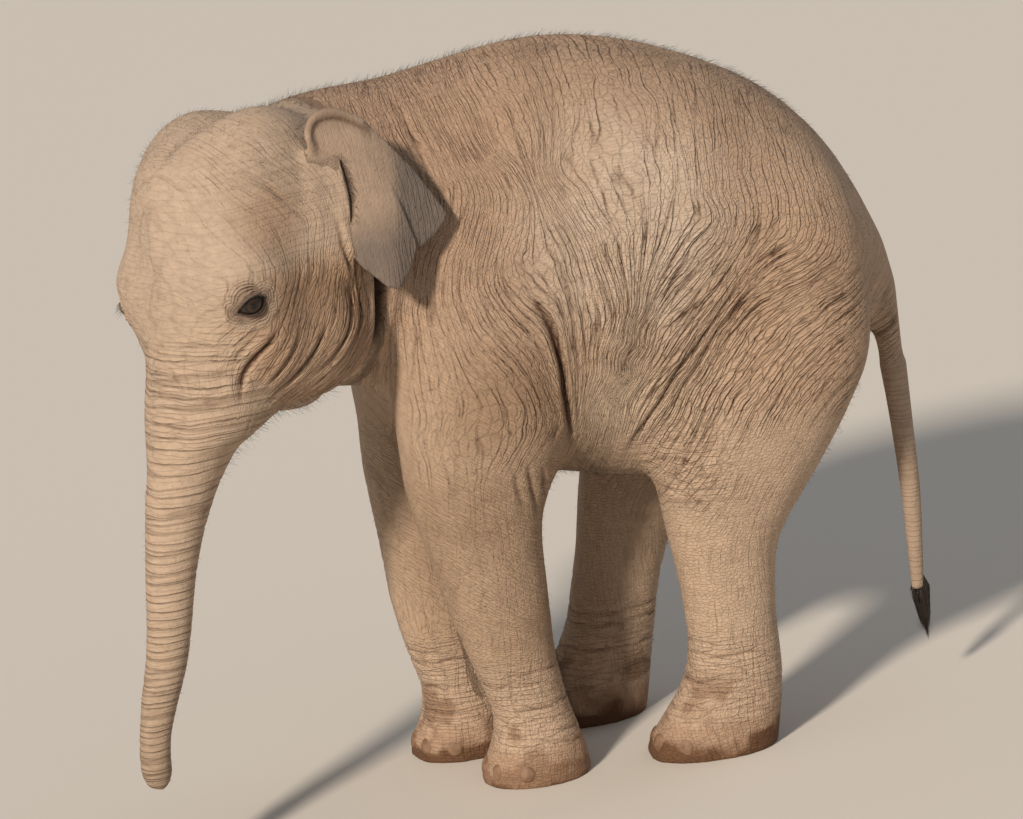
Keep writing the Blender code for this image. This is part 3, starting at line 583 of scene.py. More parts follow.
BODY_FOLDS = (
    # depth, width, then x and z along the fold
    # behind the upper leg, and the ribs
    (0.0100, 0.0055, ((0.020, 0.830), (0.055, 0.775), (0.073, 0.700), (0.075, 0.640), (0.078, 0.580),
                      (0.080, 0.520))),
    (0.0030, 0.0035, ((0.060, 0.894), (0.086, 0.855), (0.100, 0.747), (0.095, 0.640))),
    (0.0045, 0.0035, ((0.085, 0.740), (0.088, 0.680), (0.090, 0.600), (0.092, 0.530))),
    (0.0020, 0.0035, ((0.066, 1.023), (0.099, 0.924), (0.113, 0.858), (0.120, 0.744))),
    # flank and haunch
    (0.0050, 0.0034, ((0.400, 0.812), (0.306, 0.719), (0.227, 0.618), (0.179, 0.547), (0.160, 0.480))),
    (0.0036, 0.0028, ((0.380, 0.822), (0.292, 0.736), (0.210, 0.625), (0.160, 0.545))),
    (0.0032, 0.0028, ((0.400, 0.785), (0.322, 0.706), (0.246, 0.610), (0.200, 0.545))),
    (0.0026, 0.0030, ((0.330, 0.898), (0.273, 0.846), (0.186, 0.709), (0.150, 0.620))),
    (0.0024, 0.0030, ((0.239, 1.000), (0.226, 0.887), (0.181, 0.711), (0.140, 0.620))),
    (0.0030, 0.0030, ((0.426, 0.791), (0.358, 0.752), (0.303, 0.692), (0.255, 0.630))),
    (0.0026, 0.0032, ((0.457, 0.713), (0.405, 0.676), (0.352, 0.623), (0.300, 0.555))),
    # knee
    (0.0028, 0.0035, ((0.180, 0.480), (0.215, 0.505), (0.262, 0.500), (0.290, 0.455))),
    (0.0024, 0.0035, ((0.185, 0.440), (0.222, 0.455), (0.262, 0.440), (0.285, 0.400))),
    # elbow
    (0.0036, 0.0035, ((0.002, 0.560), (0.005, 0.502), (0.014, 0.430))),
    (0.0040, 0.0035, ((0.024, 0.540), (0.028, 0.490), (0.040, 0.440))),
    (0.0030, 0.0035, ((-0.020, 0.550), (-0.018, 0.500), (-0.010, 0.450))),
    # neck
    (0.0030, 0.0050, ((-0.140, 1.178), (-0.119, 1.095), (-0.097, 1.025), (-0.085, 0.960))),
    (0.0025, 0.0040, ((-0.102, 1.164), (-0.079, 1.098), (-0.045, 0.986))),
)
HEAD_FOLDS = (
    # cheek
    (0.0050, 0.0050, ((0.078, -0.045), (0.098, -0.070), (0.129, -0.097), (0.144, -0.133), (0.138, -0.181))),
    (0.0035, 0.0045, ((0.034, -0.057), (0.058, -0.093), (0.087, -0.129), (0.111, -0.158))),
    (0.0040, 0.0045, ((-0.019, -0.068), (0.010, -0.104), (0.052, -0.140), (0.099, -0.172))),
    (0.0040, 0.0045, ((-0.066, -0.020), (-0.072, -0.057), (-0.060, -0.097), (-0.013, -0.133), (0.040, -0.161))),
    (0.0045, 0.0045, ((-0.090, -0.003), (-0.096, -0.057), (-0.090, -0.097), (-0.049, -0.133))),
    (0.0030, 0.0040, ((0.120, -0.052), (0.146, -0.085), (0.152, -0.125))),
    # temple
    (0.0020, 0.0040, ((0.081, 0.199), (0.050, 0.160), (0.010, 0.119), (-0.013, 0.091))),
    (0.0020, 0.0035, ((0.060, 0.185), (0.020, 0.120), (-0.030, 0.070))),
    # before the ear
    (0.0045, 0.0036, ((-0.070, 0.120), (-0.078, 0.040), (-0.090, -0.030), (-0.104, -0.090))),
    (0.0045, 0.0036, ((-0.092, 0.100), (-0.100, 0.030), (-0.112, -0.040), (-0.118, -0.100))),
    (0.0035, 0.0032, ((-0.052, 0.110), (-0.060, 0.040), (-0.070, -0.010), (-0.082, -0.060))),
)
CHEEK_EDGE = ((-0.158, 0.040), (-0.156, -0.020), (-0.153, -0.060), (-0.141, -0.125), (-0.108, -0.172),
              (-0.060, -0.200))
height = np.zeros(len(points))
wander = 0.004 * np.column_stack([grain(points, 0.05, 1), grain(points, 0.05, 2)])
flat_body = np.column_stack([x + FAR_SHIFT * far, z]) + wander
flat_head = np.column_stack([forward, up]) + wander * 0.5
for depth, width, line in BODY_FOLDS:
    add_fold(height, flat_body, line, depth, width, side_on * (torso + leg))
for depth, width, line in HEAD_FOLDS:
    add_fold(height, flat_head, line, depth, width, on_skull * (1 - eyes))
beside_cheek = (1 - 0.5 * far) * step(0.05, 0.09, abs(beside)) * (1 - ear) * (up > -0.25)
add_fold(height, flat_head, CHEEK_EDGE, 0.020, 0.0110, beside_cheek)
print("great folds reach", (1000 * height.min()).round(1), "to", (1000 * height.max()).round(1), "mm")

# %% Ranks of lesser folds
def rank(values, spacing, seed, fade=0.10, sharp=0.16):
    """Heights from 0 down to -1 of a rank of folds, which follow the lines of equal value."""
    turns = values / spacing + 0.35 * grain(points, 0.045, seed) + 0.12 * grain(points, 0.016, seed + 1)
    nearest = np.round(turns)
    dip = np.exp(-(abs(turns - nearest) / sharp) ** 1.5)
    along = np.column_stack([x, z, nearest * 0.37 + 0 * x])
    lasting = step(-0.25, 0.35, grain(along, fade, seed + 2))
    return -dip * lasting * (0.6 + 0.4 * np.sin(nearest * 2.4))


flank = torso * disc(points, 0.20, 0.72, 0.13, 0.16)
haunch = torso * disc(points, 0.42, 0.66, 0.12, 0.20)
knee = disc(points, 0.235, 0.50, 0.02, 0.13) * (1 - front)
behind_ear = torso * fall(-0.06, 0.0, x) * step(0.75, 0.85, z)
cheek = on_skull * fall(0.0, 0.05, up) * step(-0.14, -0.10, forward) * fall(0.13, 0.17, forward)
cheek *= step(0.03, 0.07, abs(beside)) * (1 - eyes)
skin_value = body_value * (1 - on_skull) + head_value * on_skull
wide_folds = np.clip(0.35 * torso + flank + 0.6 * behind_ear, 0, 1.2)
height += 0.0018 * rank(body_value, 0.026, 21, 0.16) * side_on * wide_folds
height += 0.0016 * rank(body_value, 0.016, 25, sharp=0.2) * side_on * np.clip(0.4 * torso + 0.6 * haunch, 0, 1)
height += 0.0026 * rank(body_value, 0.0125, 27, 0.14, 0.14) * side_on * flank
height += 0.0016 * rank(head_value, 0.010, 31, 0.05, 0.2) * cheek
height += 0.0015 * rank(body_value, 0.019, 35, 0.04) * knee + 0.0015 * rank(z - 0.3 * x, 0.018, 38, 0.04) * knee
print("with lesser folds", (1000 * height.min()).round(1), "to", (1000 * height.max()).round(1), "mm")

# %% [markdown]
# ## Rings round the trunk and the ankles
# The trunk is ringed from root to tip, and the rings get closer downward. The legs have sagging creases above
# the feet, and slanting ones on the forearm.

# %% Rings
RING_TOP, RING_TIP = 0.0145, 0.0092          # spacing of the trunk's rings
TIP_HEIGHT, TRUNK_LENGTH = 0.10, 0.55
ring_gap = RING_TIP + (RING_TOP - RING_TIP) * np.clip((z - TIP_HEIGHT) / TRUNK_LENGTH, 0, 3)
ring_turns = np.log(ring_gap / RING_TIP) * TRUNK_LENGTH / (RING_TOP - RING_TIP)
trunk_front = step(0.09, 0.16, forward) * on_skull * fall(-0.075, -0.035, up) * step(-0.25, -0.12, up)
ringed = np.clip(trunk + 0.8 * trunk_front, 0, 1)
height += 0.0011 * rank(ring_turns * 0.012, 0.012, 41, 0.03, 0.22) * ringed
ankle = leg * fall(0.17, 0.25, z) * step(0.035, 0.07, z)
slant = z + 0.75 * (x + 0.1) * step(0.2, 0.3, z) * front
height += 0.0044 * rank(slant, 0.021, 45, 0.07, 0.12) * ankle
height += 0.0012 * rank(slant, 0.017, 48, 0.05) * leg * (1 - ankle)
height = np.where(points[:, 2] < 0.01, 0, height)
points = points + normals * height[:, None]
set_points(skin, points)
print("rings", int(ring_turns[trunk > 0.5].max() - ring_turns[trunk > 0.5].min()))

# %% [markdown]
# ## Ears
# The ear's outer side has a slit before its canal, behind the small ridge, and a pleat that parts its lower
# lobe from the rear one. The lower flap is full of thin folds that run down it, and the edge is notched where
# the pleat meets it.

# %% Ears: slit, pleat, notch and thin folds
PLEAT = curved([(0.096, 0.105), (0.106, 0.062), (0.122, -0.004), (0.128, -0.030)])


def add_ear(points, side):
    place = near_ear(points, side)
    flap = np.flatnonzero(in_slab(place, 0.024, -0.035))
    back, up = place[0][flap], place[1][flap]
    places = np.column_stack([back, up])
    back_axis, out_axis = np.array(ear_way(1, 0, 0, side)), np.array(ear_way(0, 0, 1, side))
    outer = step(-0.2, 0.4, normals[flap] @ out_axis)
    away, along = from_line(places, CANAL)
    slit = np.exp(-(away / (0.0050 * np.clip(4 * along * (1 - along), 0.05, 1))) ** 2)
    pleat_back = np.interp(up, PLEAT[::-1, 1], PLEAT[::-1, 0])
    before = pleat_back - back
    low = fall(0.070, 0.120, up)
    lobe = np.where(before > 0, np.exp(-before / 0.035), np.exp(-(before / 0.0025) ** 2)) * low
    thin = np.sin(back * 2 * math.pi / 0.0085 + 2.5 * grain(points[flap], 0.03, 61)) * grain(points[flap], 0.02, 62)
    thin *= step(0.07, 0.10, back) * fall(0.09, 0.13, up)
    wave = 0.004 * np.sin(back * 30 + 0.6) * step(0.03, 0.10, back)
    moved = -0.0085 * slit * outer + 0.0055 * lobe + wave + 0.0007 * thin
    notch = np.exp(-((back - 0.128) ** 2 + (up + 0.006) ** 2) / 0.010 ** 2)
    points[flap] += moved[:, None] * out_axis - (0.009 * notch)[:, None] * back_axis
    return flap, back, up, slit


points = points_of(skin)
ear_parts = {side: add_ear(points, side) for side in (1, -1)}
set_points(skin, points)
print("ear points", {side: len(found[0]) for side, found in ear_parts.items()})

# %% [markdown]
# ## Notes on the skin
# What the skin's material needs is written on the mesh as attributes, so that it stays with the skin when the
# mesh changes. `across` and `round` are places for nets of fine wrinkles: one follows the fold lines, the other
# runs in rings round the trunk and legs and level over the body. `wrinkled` tells how strong the nets across,
# the rings and the nets round are. `coarse` marks the knees and ankles, `crease_shade` the depths of the folds,
# which the material darkens as painted shade, and `tint` is the colour.

# %% Attributes for the material
KINDS = {"FLOAT": ("value", 1), "FLOAT_VECTOR": ("vector", 3), "FLOAT_COLOR": ("color", 4)}
LEG_RADIUS = 0.09


def set_attribute(obj, name, kind, values):
    data = obj.data.attributes.get(name) or obj.data.attributes.new(name, kind, "POINT")
    data.data.foreach_set(KINDS[kind][0], np.ascontiguousarray(values, dtype=np.float32).ravel())


def get_attribute(obj, name, kind):
    return read_all(obj.data.attributes[name].data, *KINDS[kind], np.float32).astype(float)


def around(points, mask, radius, side):
    """How far round a limb each point lies, as a length from its outer side."""
    level = (points[:, 2] / 0.02).astype(int)
    weight = np.bincount(level, mask) + 1e-9
    middle_x = (np.bincount(level, mask * points[:, 0]) / weight)[level]
    middle_y = (np.bincount(level, mask * points[:, 1]) / weight)[level]
    return radius * np.arctan2(points[:, 0] - middle_x, (middle_y - points[:, 1]) * side)


legs = {(fore, side): leg * (front > 0.5 if fore else front <= 0.5)
        * ((y < spine_y) if side > 0 else (y >= spine_y)) for fore in (True, False) for side in (1, -1)}
across = np.column_stack([skin_value, z - 0.9 * abs(y - spine_y)])
across = np.where(on_skull[:, None] > 0.5, np.column_stack([head_value, up + 0.4 * abs(beside)]), across)
rings = np.column_stack([slant, body_value])
seam = np.ones(len(points))
for (fore, side), mask in legs.items():
    turned = around(points, mask, LEG_RADIUS, side)
    outer_band = (mask > 0.1) & (mask < 0.9) & (abs(turned) < 0.10)
    offset = (body_value - turned)[outer_band].mean()
    limb = mask > 0
    share = step(0.1, 0.9, mask)
    rings[limb, 1] += (share * (turned + offset - body_value))[limb]
    seam[limb] = (1 - share * np.exp(-((abs(turned) - LEG_RADIUS * math.pi) / 0.014) ** 2))[limb]
hanging = (trunk > 0.3) | (on_skull > 0.5)
rings[hanging] = np.column_stack([ring_turns * 0.009, 0.25 * (beside + 0.3 * forward)])[hanging]
strong_across = (torso * (0.75 + 0.35 * flank + 0.60 * haunch)
                 + 0.9 * cheek + 0.30 * on_skull + 0.30 * leg + 0.5 * knee)
strong_rings = (ringed + 0.65 * ankle + 0.35 * leg * front * step(0.20, 0.30, z)
                + 0.6 * tail + 0.10 * on_skull * (1 - cheek))
strong_round = (0.45 * torso + 0.66 * leg + 0.5 * ringed
                + 0.42 * on_skull * (1 - 0.8 * step(0.5, 0.9, normals[:, 2])))
strong_across *= 1 - 0.6 * step(0.60, 0.95, abs(normals[:, 0])) * torso
smooth = np.clip(ear + 0.3 * tail, 0, 1)
strong_across *= 1 - np.exp(-((on_skull - 0.5) / 0.2) ** 2)
border = step(0.0, 1.0, abs(np.maximum(on_skull - 0.5, trunk - 0.3)) / 0.2) * seam
flaps = np.zeros(len(points))
for flap, back, up_ear, _ in ear_parts.values():
    on_flap = ear[flap] > 0.5
    across[flap[on_flap]] = np.column_stack([back, up_ear])[on_flap]
    flaps[flap] = ear[flap] * (0.14 + 0.36 * step(-0.01, 0.02, back - 0.075 - 0.25 * up_ear))
wrinkled = np.column_stack([
    strong_across * (1 - smooth) * (1 - 0.8 * trunk) + flaps,
    strong_rings * (1 - smooth) * border,
    strong_round * (1 - 0.6 * smooth) * border * (1 - 0.5 * cheek),
])
fold_depth = 0.0056 - 0.0024 * cheek - 0.0012 * flank
set_attribute(skin, "across", "FLOAT_VECTOR", np.column_stack([across, 0 * x]))
set_attribute(skin, "round", "FLOAT_VECTOR", np.column_stack([rings, 0 * x]))
set_attribute(skin, "wrinkled", "FLOAT_VECTOR", wrinkled)
# How deep each point lies in a fold, which the material turns into painted shade.
set_attribute(skin, "crease_shade", "FLOAT", np.clip((-height - 0.0006) / fold_depth, 0, 1))
set_attribute(skin, "coarse", "FLOAT", np.clip(knee + 0.35 * ankle, 0, 1) * seam)
print("attributes", [attribute.name for attribute in skin.data.attributes if not attribute.is_internal])

# %% [markdown]
# ## Colours of the skin
# The hide is grey, and dry clay has dusted it tan: paler on the forehead, trunk and upper flank, redder and
# browner on the back, greyer on the ears and tail. The feet are caked with mud up to the ankle. Painted light
# makes the lower flank paler, and painted shade darkens the gap behind each cheek, the ear's slit and the band
# under its rim.

# %% Colours by region
def blend_in(base, colour, amount):
    """Mixes a colour into the base, as much as the amount says for each point."""
    amount = np.clip(amount, 0, 1)[:, None]
    return base * (1 - amount) + np.array(linear(colour)[:3]) * amount


patches = grain(points, 0.09, 71) * 0.5 + grain(points, 0.03, 72) * 0.3 + grain(points, 0.012, 73) * 0.2
dappled = 0.75 + 0.5 * patches
forehead = on_skull * step(0.09, 0.16, forward) * step(-0.05, 0.05, up)
temple = on_skull * ball(np.column_stack([forward, up, 0 * up]), (0.055, 0.100, 0), 0.02, 0.06)
# Painted shade in the deep gap between the cheek's rear edge and the neck.
cheek_gap_shade = np.exp(-(from_line(flat_head, curved(CHEEK_EDGE, 4))[0] / 0.013) ** 2)
cheek_gap_shade *= beside_cheek * (forward < -0.02)
tint = np.tile(linear("#af967f")[:3], (len(points), 1))
for colour, amount in (
    ("#9f846d", torso * step(0.80, 1.10, z) * dappled),                              # back
    ("#bba793", torso * disc(points, 0.19, 0.90, 0.10, 0.14) * (0.8 + patches)),     # ribs
    ("#b2947a", torso * disc(points, 0.47, 0.72, 0.10, 0.12) * 0.7),                 # haunch
    ("#a98b74", torso * fall(-0.02, 0.12, x) * step(0.60, 0.90, z) * 0.6),           # shoulder
    ("#91745b", side_on * (1 - far) * disc(points, -0.010, 0.640, 0.03, 0.15) * (0.7 + 0.3 * patches)),    # elbow
    # painted light: the lower flank, which faces down, is made paler as if lit
    ("#c6b098", torso * side_on * disc(points, 0.165, 0.600, 0.02, 0.09) * 0.7),     # flank
    ("#bda48c", leg * (0.7 + 0.5 * patches)),
    ("#a1876f", leg * front * step(0.14, 0.24, z) * (1 - far) * dappled),
    ("#b09a85", on_skull * (0.9 + 0.3 * patches)),
    ("#b39e8a", forehead * (0.8 + 0.4 * patches)),
    ("#ab8b70", cheek * dappled),
    ("#b39c86", np.clip(trunk + trunk_front, 0, 1)),
    ("#a18b76", trunk * fall(0.15, 0.50, z) * 0.9),
    ("#a88a70", temple * 0.6),
    # painted shade behind the cheek
    ("#43312a", 0.8 * cheek_gap_shade),
    ("#a38d7a", ear),
):
    tint = blend_in(tint, colour, amount)
for flap, back, up_ear, slit in ear_parts.values():
    low_flap = np.maximum(step(-0.015, 0.02, back - 0.075 - 0.25 * up_ear),
                          0.85 * fall(0.010, 0.090, up_ear))
    colours = blend_in(tint[flap], "#72675f", 0.97 * low_flap * ear[flap])
    colours = blend_in(colours, "#84705f", step(0.21, 0.235, up_ear) * 0.6 * ear[flap])
    # Painted shadow in a band under the ear's rolled rim.
    under = from_line(np.column_stack([back, up_ear]), EAR_RIM)[0]
    under = np.exp(-((under - 0.0105) / 0.0045) ** 2) * (up_ear < 0.232) * (back > -0.016)
    colours = blend_in(colours, "#5d4a3c", 0.75 * under * ear[flap])
    # Painted shade in the ear's slit.
    tint[flap] = blend_in(colours, "#33261d", 0.9 * slit)
for colour, amount in (
    ("#a08b78", spread(tail, neighbours, 25)[:, 0]),
    ("#bda28a", leg * fall(0.08, 0.17, z + 0.03 * patches) * 0.8),
    ("#94735a", leg * fall(0.05, 0.075, z + 0.05 * patches) * 0.5),                  # mud
    ("#63452f", leg * fall(0.026, 0.036, z + 0.070 * patches) * 0.95),
    ("#75533b", leg * fall(0.10, 0.16, z) * step(0.22, 0.34, patches) * 0.6),        # splashes
    ("#7a5d47", trunk * fall(0.06, 0.11, z) * step(0.1, 0.3, patches) * 0.8),
):
    tint = blend_in(tint, colour, amount)
print("tinted", len(tint))
set_attribute(skin, "tint", "FLOAT_COLOR", np.column_stack([tint, np.ones(len(tint))]))

# %% [markdown]
# ## Eyelids
# The mesh is too coarse for lids, so the squares round each eye are divided once, and the nearest ones twice.
# Each eye gets a frame of its own: along toward its outer corner, up, and out. Inside the opening the skin sinks
# behind the eyeball. Round it the lids ride over the ball, and thin folds run round them in rings.

# %% Frames of the eyes, and a finer mesh round them
EYE_SLANT = math.radians(22)             # how much higher the outer corner stands
BALL_TO_SKIN = 0.013                     # from the eyeball's middle out to the skin


def eye_frame(side, skin_points, skin_normals):
    centre = np.array(on_head(EYE_FORWARD, EYE_SIDE * side, EYE_UP))
    surface = np.array(on_head(EYE_FORWARD, (EYE_SIDE + BALL_TO_SKIN) * side, EYE_UP))
    near = np.linalg.norm(skin_points - surface, axis=1) < 0.030
    out = skin_normals[near].mean(axis=0)
    out /= np.linalg.norm(out)
    along = -math.cos(EYE_SLANT) * np.array(HEAD_FORWARD) + math.sin(EYE_SLANT) * np.array(HEAD_UP)
    along -= out * (along @ out)
    along /= np.linalg.norm(along)
    return centre, np.array([along, np.cross(out, along) * side, out])


def near_eyes(points, reach):
    """True for points within reach of the skin over either eye."""
    near = np.zeros(len(points), dtype=bool)
    for centre, turn in EYE_FRAMES.values():
        near |= np.linalg.norm(points - (centre + turn[2] * BALL_TO_SKIN), axis=1) < reach
    return near


bpy.context.tool_settings.mesh_select_mode = (True, False, False)
EYE_FRAMES = {side: eye_frame(side, points, normals) for side in (1, -1)}
for reach in (0.052, 0.034):
    choose(skin)
    for part in (skin.data.polygons, skin.data.edges):
        part.foreach_set("select", np.zeros(len(part), dtype=bool))
    skin.data.vertices.foreach_set("select", near_eyes(points_of(skin), reach))
    bpy.ops.object.mode_set(mode="EDIT")
    bpy.ops.mesh.subdivide(number_cuts=1)
    bpy.ops.object.mode_set(mode="OBJECT")
print("refined skin has", len(skin.data.vertices), "points")

# %% Lids and the rings of folds round them
INNER_CORNER, OUTER_CORNER = 0.0250, 0.0215      # the opening's size, each way from the pole
UPPER_EDGE, LOWER_EDGE = 0.0132, 0.0122
LID, SOCKET_DEPTH = 0.0028, 0.0055               # how far the lid stands off the ball, and the skin sinks behind it
FOLD_GAP = 0.0047


def from_opening(a, b):
    """Distance outside the opening's edge, negative inside it."""
    t = np.where(a < 0, -a / INNER_CORNER, a / OUTER_CORNER)
    lift = np.where(b > 0, UPPER_EDGE, LOWER_EDGE)
    bow = np.clip(1 - abs(t) ** np.where(a < 0, 1.9, 2.4), 0, 1) ** np.where(a < 0, 1.0, 0.75)
    beyond = np.hypot((abs(t) - 1) * np.where(a < 0, INNER_CORNER, OUTER_CORNER), b)
    return np.where(abs(t) < 1, (abs(b) - lift * bow) * 0.9, beyond)


points = points_of(skin)
near_eye = {}
for side, (centre, turn) in EYE_FRAMES.items():
    a, b, c = turn @ (points - centre).T
    near = np.flatnonzero((np.hypot(a, b) < 0.052) & (c > -0.004))
    a, b, c = a[near], b[near], c[near]
    gap = from_opening(a, b)
    reach = np.hypot(a, b)
    lid = np.sqrt(np.maximum((EYE_RADIUS + LID) ** 2 - reach ** 2, 0.0)) - 0.0004
    over = np.maximum(c, lid) + 0.0012 * np.exp(-(abs(c - lid) / 0.003) ** 2) * (reach < EYE_RADIUS)
    uneven = grain(points[near], 0.012, 51 + side)
    turns = gap / FOLD_GAP + 0.45 * uneven + np.where(b > 0, 0, 0.12)
    whole = np.round(turns)
    crease = np.exp(-(abs(turns - whole) / 0.17) ** 1.5) * (whole > 0.5)
    strong = fall(0.020, 0.034, gap) * np.where(b > 0, 1.0, 0.8)
    strong *= 0.7 + 0.5 * grain(points[near], 0.02, 55)
    over += np.clip(strong, 0, 1.2) * (0.0010 - 0.0028 * crease)
    over += 0.0008 * np.exp(-((gap - 0.0016) / 0.0012) ** 2)                    # the lid's thick edge
    socket = np.sqrt(np.maximum((EYE_RADIUS - SOCKET_DEPTH) ** 2 - reach ** 2, 0.0))
    socket = np.maximum(socket, over - SOCKET_DEPTH)
    inside = fall(-0.0011, 0.0001, gap)
    moved = over * (1 - inside) + socket * inside
    points[near] += ((moved - c) * fall(0.040, 0.050, reach))[:, None] * turn[2]
    near_eye[side] = (near, a, b, gap, crease * np.clip(strong, 0, 1))
set_points(skin, points)
tint = get_attribute(skin, "tint", "FLOAT_COLOR")[:, :3]
crease_shade = get_attribute(skin, "crease_shade", "FLOAT")[:, 0]
for near, a, b, gap, crease in near_eye.values():
    tears = np.exp(-(((a + 0.027) / 0.006) ** 2 + ((b + 0.012) / 0.011) ** 2))
    colours = blend_in(tint[near], "#6a5f58", 0.9 * tears)
    colours = blend_in(colours, "#7d6859", fall(0.010, 0.022, gap) * 0.75)
    colours = blend_in(colours, "#4c4039", fall(0.0012, 0.0075, gap) * np.where(a > 0.006, 0.95, 0.8))
    tint[near] = blend_in(colours, "#2b2019", fall(-0.0004, 0.0012, gap))
    # The lids' creases get painted shade as well.
    crease_shade[near] = np.maximum(crease_shade[near], crease)
set_attribute(skin, "tint", "FLOAT_COLOR", np.column_stack([tint, np.ones(len(tint))]))
set_attribute(skin, "crease_shade", "FLOAT", crease_shade)
print("lids", {side: len(found[0]) for side, found in near_eye.items()})

# %% [markdown]
# ## A lighter mesh
# The skin is now finer than it needs to be. Decimation merges the flattest places first, in two rounds: the
# body down to most of the limit, and then the head and trunk a little, with the eyelids left alone.

# %% Decimate the skin
MOST_FACES = 196_000
BODY_POINTS = 46_000         # how many points the first round leaves on the body
FACES_TO_POINT = 1.97        # how many triangles go with each point that goes


def faces_of(obj):
    obj.data.calc_loop_triangles()
    return len(obj.data.loop_triangles)


def thin_out(obj, weights, goal):
    """Merges triangles where the weights are 1, until the whole mesh has about as many as the goal."""
    group = obj.vertex_groups.new(name="thin")
    group.add(np.flatnonzero(weights).tolist(), 1.0, "REPLACE")
    apply_modifier(obj, "DECIMATE", ratio=goal / faces_of(obj), vertex_group=group.name)
    obj.vertex_groups.remove(obj.vertex_groups["thin"])


def on_the_head(points):
    """True for points on the head and the trunk's root."""
    forward, beside, _ = head_places(points)
    return (forward > -0.19) & (abs(beside) < 0.30)


apply_modifier(skin, "TRIANGULATE")
body_area = ~on_the_head(points_of(skin))
print("faces before", faces_of(skin), "points on the body", int(body_area.sum()))
thin_out(skin, body_area, faces_of(skin) - FACES_TO_POINT * (body_area.sum() - BODY_POINTS))
places = points_of(skin)
thin_out(skin, on_the_head(places) & ~near_eyes(places, 0.036), MOST_FACES)
print("faces after", faces_of(skin))

# %% [markdown]
# ## Materials
# A node is added with one small helper. The skin's material reads the attributes: nets of wrinkles across and
# round, rings, a pebbled grain and dust raise a bump, and the same wrinkles, with the depths of the folds,
# darken and redden the colour in their depths as painted shade.

# %% Node helper and plain materials
def add_node(tree, kind, settings=(), **inputs):
    """Adds a shader node, sets its properties, and fills its inputs with values or other nodes' outputs."""
    node = tree.nodes.new("ShaderNode" + kind)
    for name, value in dict(settings).items():
        setattr(node, name, value)
    for name, value in inputs.items():
        socket = node.inputs[int(name[1:])] if name[1:].isdigit() else node.inputs[name.replace("_", " ")]
        if isinstance(value, bpy.types.NodeSocket):
            tree.links.new(value, socket)
        else:
            socket.default_value = value
    return node


def new_material(name, colour, roughness):
    material = bpy.data.materials.new(name)
    material.use_nodes = True
    surface = material.node_tree.nodes["Principled BSDF"]
    surface.inputs["Base Color"].default_value = linear(colour)
    surface.inputs["Roughness"].default_value = roughness
    return material, material.node_tree, surface


hide, tree, surface = new_material("elephant_hide", "#a88a6e", 0.82)
surface.inputs["Specular IOR Level"].default_value = 0.22
print("first material", hide.name)

# %% [markdown]
# The short functions below work on `tree`, which is always the material that is being made.

# %% Skin
def object_place():
    return add_node(tree, "TexCoord").outputs["Object"]


def range_of(value, low, high, to_low, to_high, **settings):
    """A value whose range is turned into another."""
    return add_node(tree, "MapRange", settings, _0=value, _1=low, _2=high, _3=to_low, _4=to_high).outputs[0]


def read(name, what="Vector"):
    return add_node(tree, "Attribute", {"attribute_name": name}).outputs[what]


def vector(operation, first, **more):
    return add_node(tree, "VectorMath", {"operation": operation}, _0=first, **more).outputs[0]


def noise(place, scale, detail, what=0, **more):
    return add_node(tree, "TexNoise", Vector=place, Scale=scale, Detail=detail, **more).outputs[what]


def multiply_colours(amount, first, second):
    return add_node(tree, "Mix", {"data_type": "RGBA", "blend_type": "MULTIPLY"},
                    _0=amount, _6=first, _7=second).outputs[2]


def calculate(operation, first, second=0.0, third=0.0):
    return add_node(tree, "Math", {"operation": operation}, _0=first, _1=second, _2=third).outputs[0]


def net(places, wide, long, depth):
    """A net of wrinkles: 0 in their depths, 1 between them. Its cells are so wide, and so long down a wrinkle."""
    scaled = vector("MULTIPLY", places, _1=(1 / wide, 1 / long, 0))
    cells = add_node(tree, "TexVoronoi", {"feature": "DISTANCE_TO_EDGE", "voronoi_dimensions": "2D"},
                     Vector=scaled, Scale=1.0)
    return range_of(cells.outputs["Distance"], 0.0, depth, 0.0, 1.0, interpolation_type="SMOOTHSTEP")


here = object_place()
quick = vector("SCALE", noise(here, 75.0, 1.0, "Color"), Scale=0.0022)
drift = vector("MULTIPLY_ADD", noise(here, 12.0, 1.0, "Color"), _1=(0.016, 0.016, 0.0), _2=quick)
across_place = vector("ADD", read("across"), _1=drift)
round_place = vector("ADD", read("round"), _1=vector("SCALE", drift, Scale=0.45))
across_much, rings_much, round_much = add_node(tree, "SeparateXYZ", Vector=read("wrinkled")).outputs

fine_across = net(across_place, 0.0052, 0.024, 0.17)
long_across = net(across_place, 0.0105, 0.30, 0.09)
fine_round = net(round_place, 0.0052, 0.0125, 0.16)
coarse_round = net(round_place, 0.0125, 0.0165, 0.09)
rings_round = net(round_place, 0.0092, 0.085, 0.14)
pebbles = add_node(tree, "TexVoronoi", {"feature": "F1"}, Vector=here, Scale=230.0)
pebble = calculate("SUBTRACT", 1.0, pebbles.outputs["Distance"])
dust = noise(here, 60.0, 4.0, Roughness=0.7)
fading = range_of(noise(here, 22.0, 1.0), 0.35, 0.62, 0.25, 1.0)


def deep(amount, strength, weight):
    """How deep a wrinkle lies here: its strength where the net is 0."""
    return calculate("MULTIPLY", calculate("MULTIPLY", calculate("SUBTRACT", 1.0, amount), strength), weight)


wrinkle = calculate("MULTIPLY", deep(long_across, across_much, 0.85), fading)
for amount, strength, weight in (
    (fine_across, across_much, 0.34),
    (fine_round, round_much, 0.36),
    (rings_round, rings_much, 0.55),
    (coarse_round, read("coarse", "Fac"), 0.45),
):
    wrinkle = calculate("ADD", wrinkle, deep(amount, strength, weight))
raised = calculate("MULTIPLY_ADD", pebble, 0.20, calculate("MULTIPLY", wrinkle, -1.0))
raised = calculate("MULTIPLY_ADD", dust, 0.30, raised)
bump = add_node(tree, "Bump", Strength=1.0, Distance=0.0028, Height=raised)

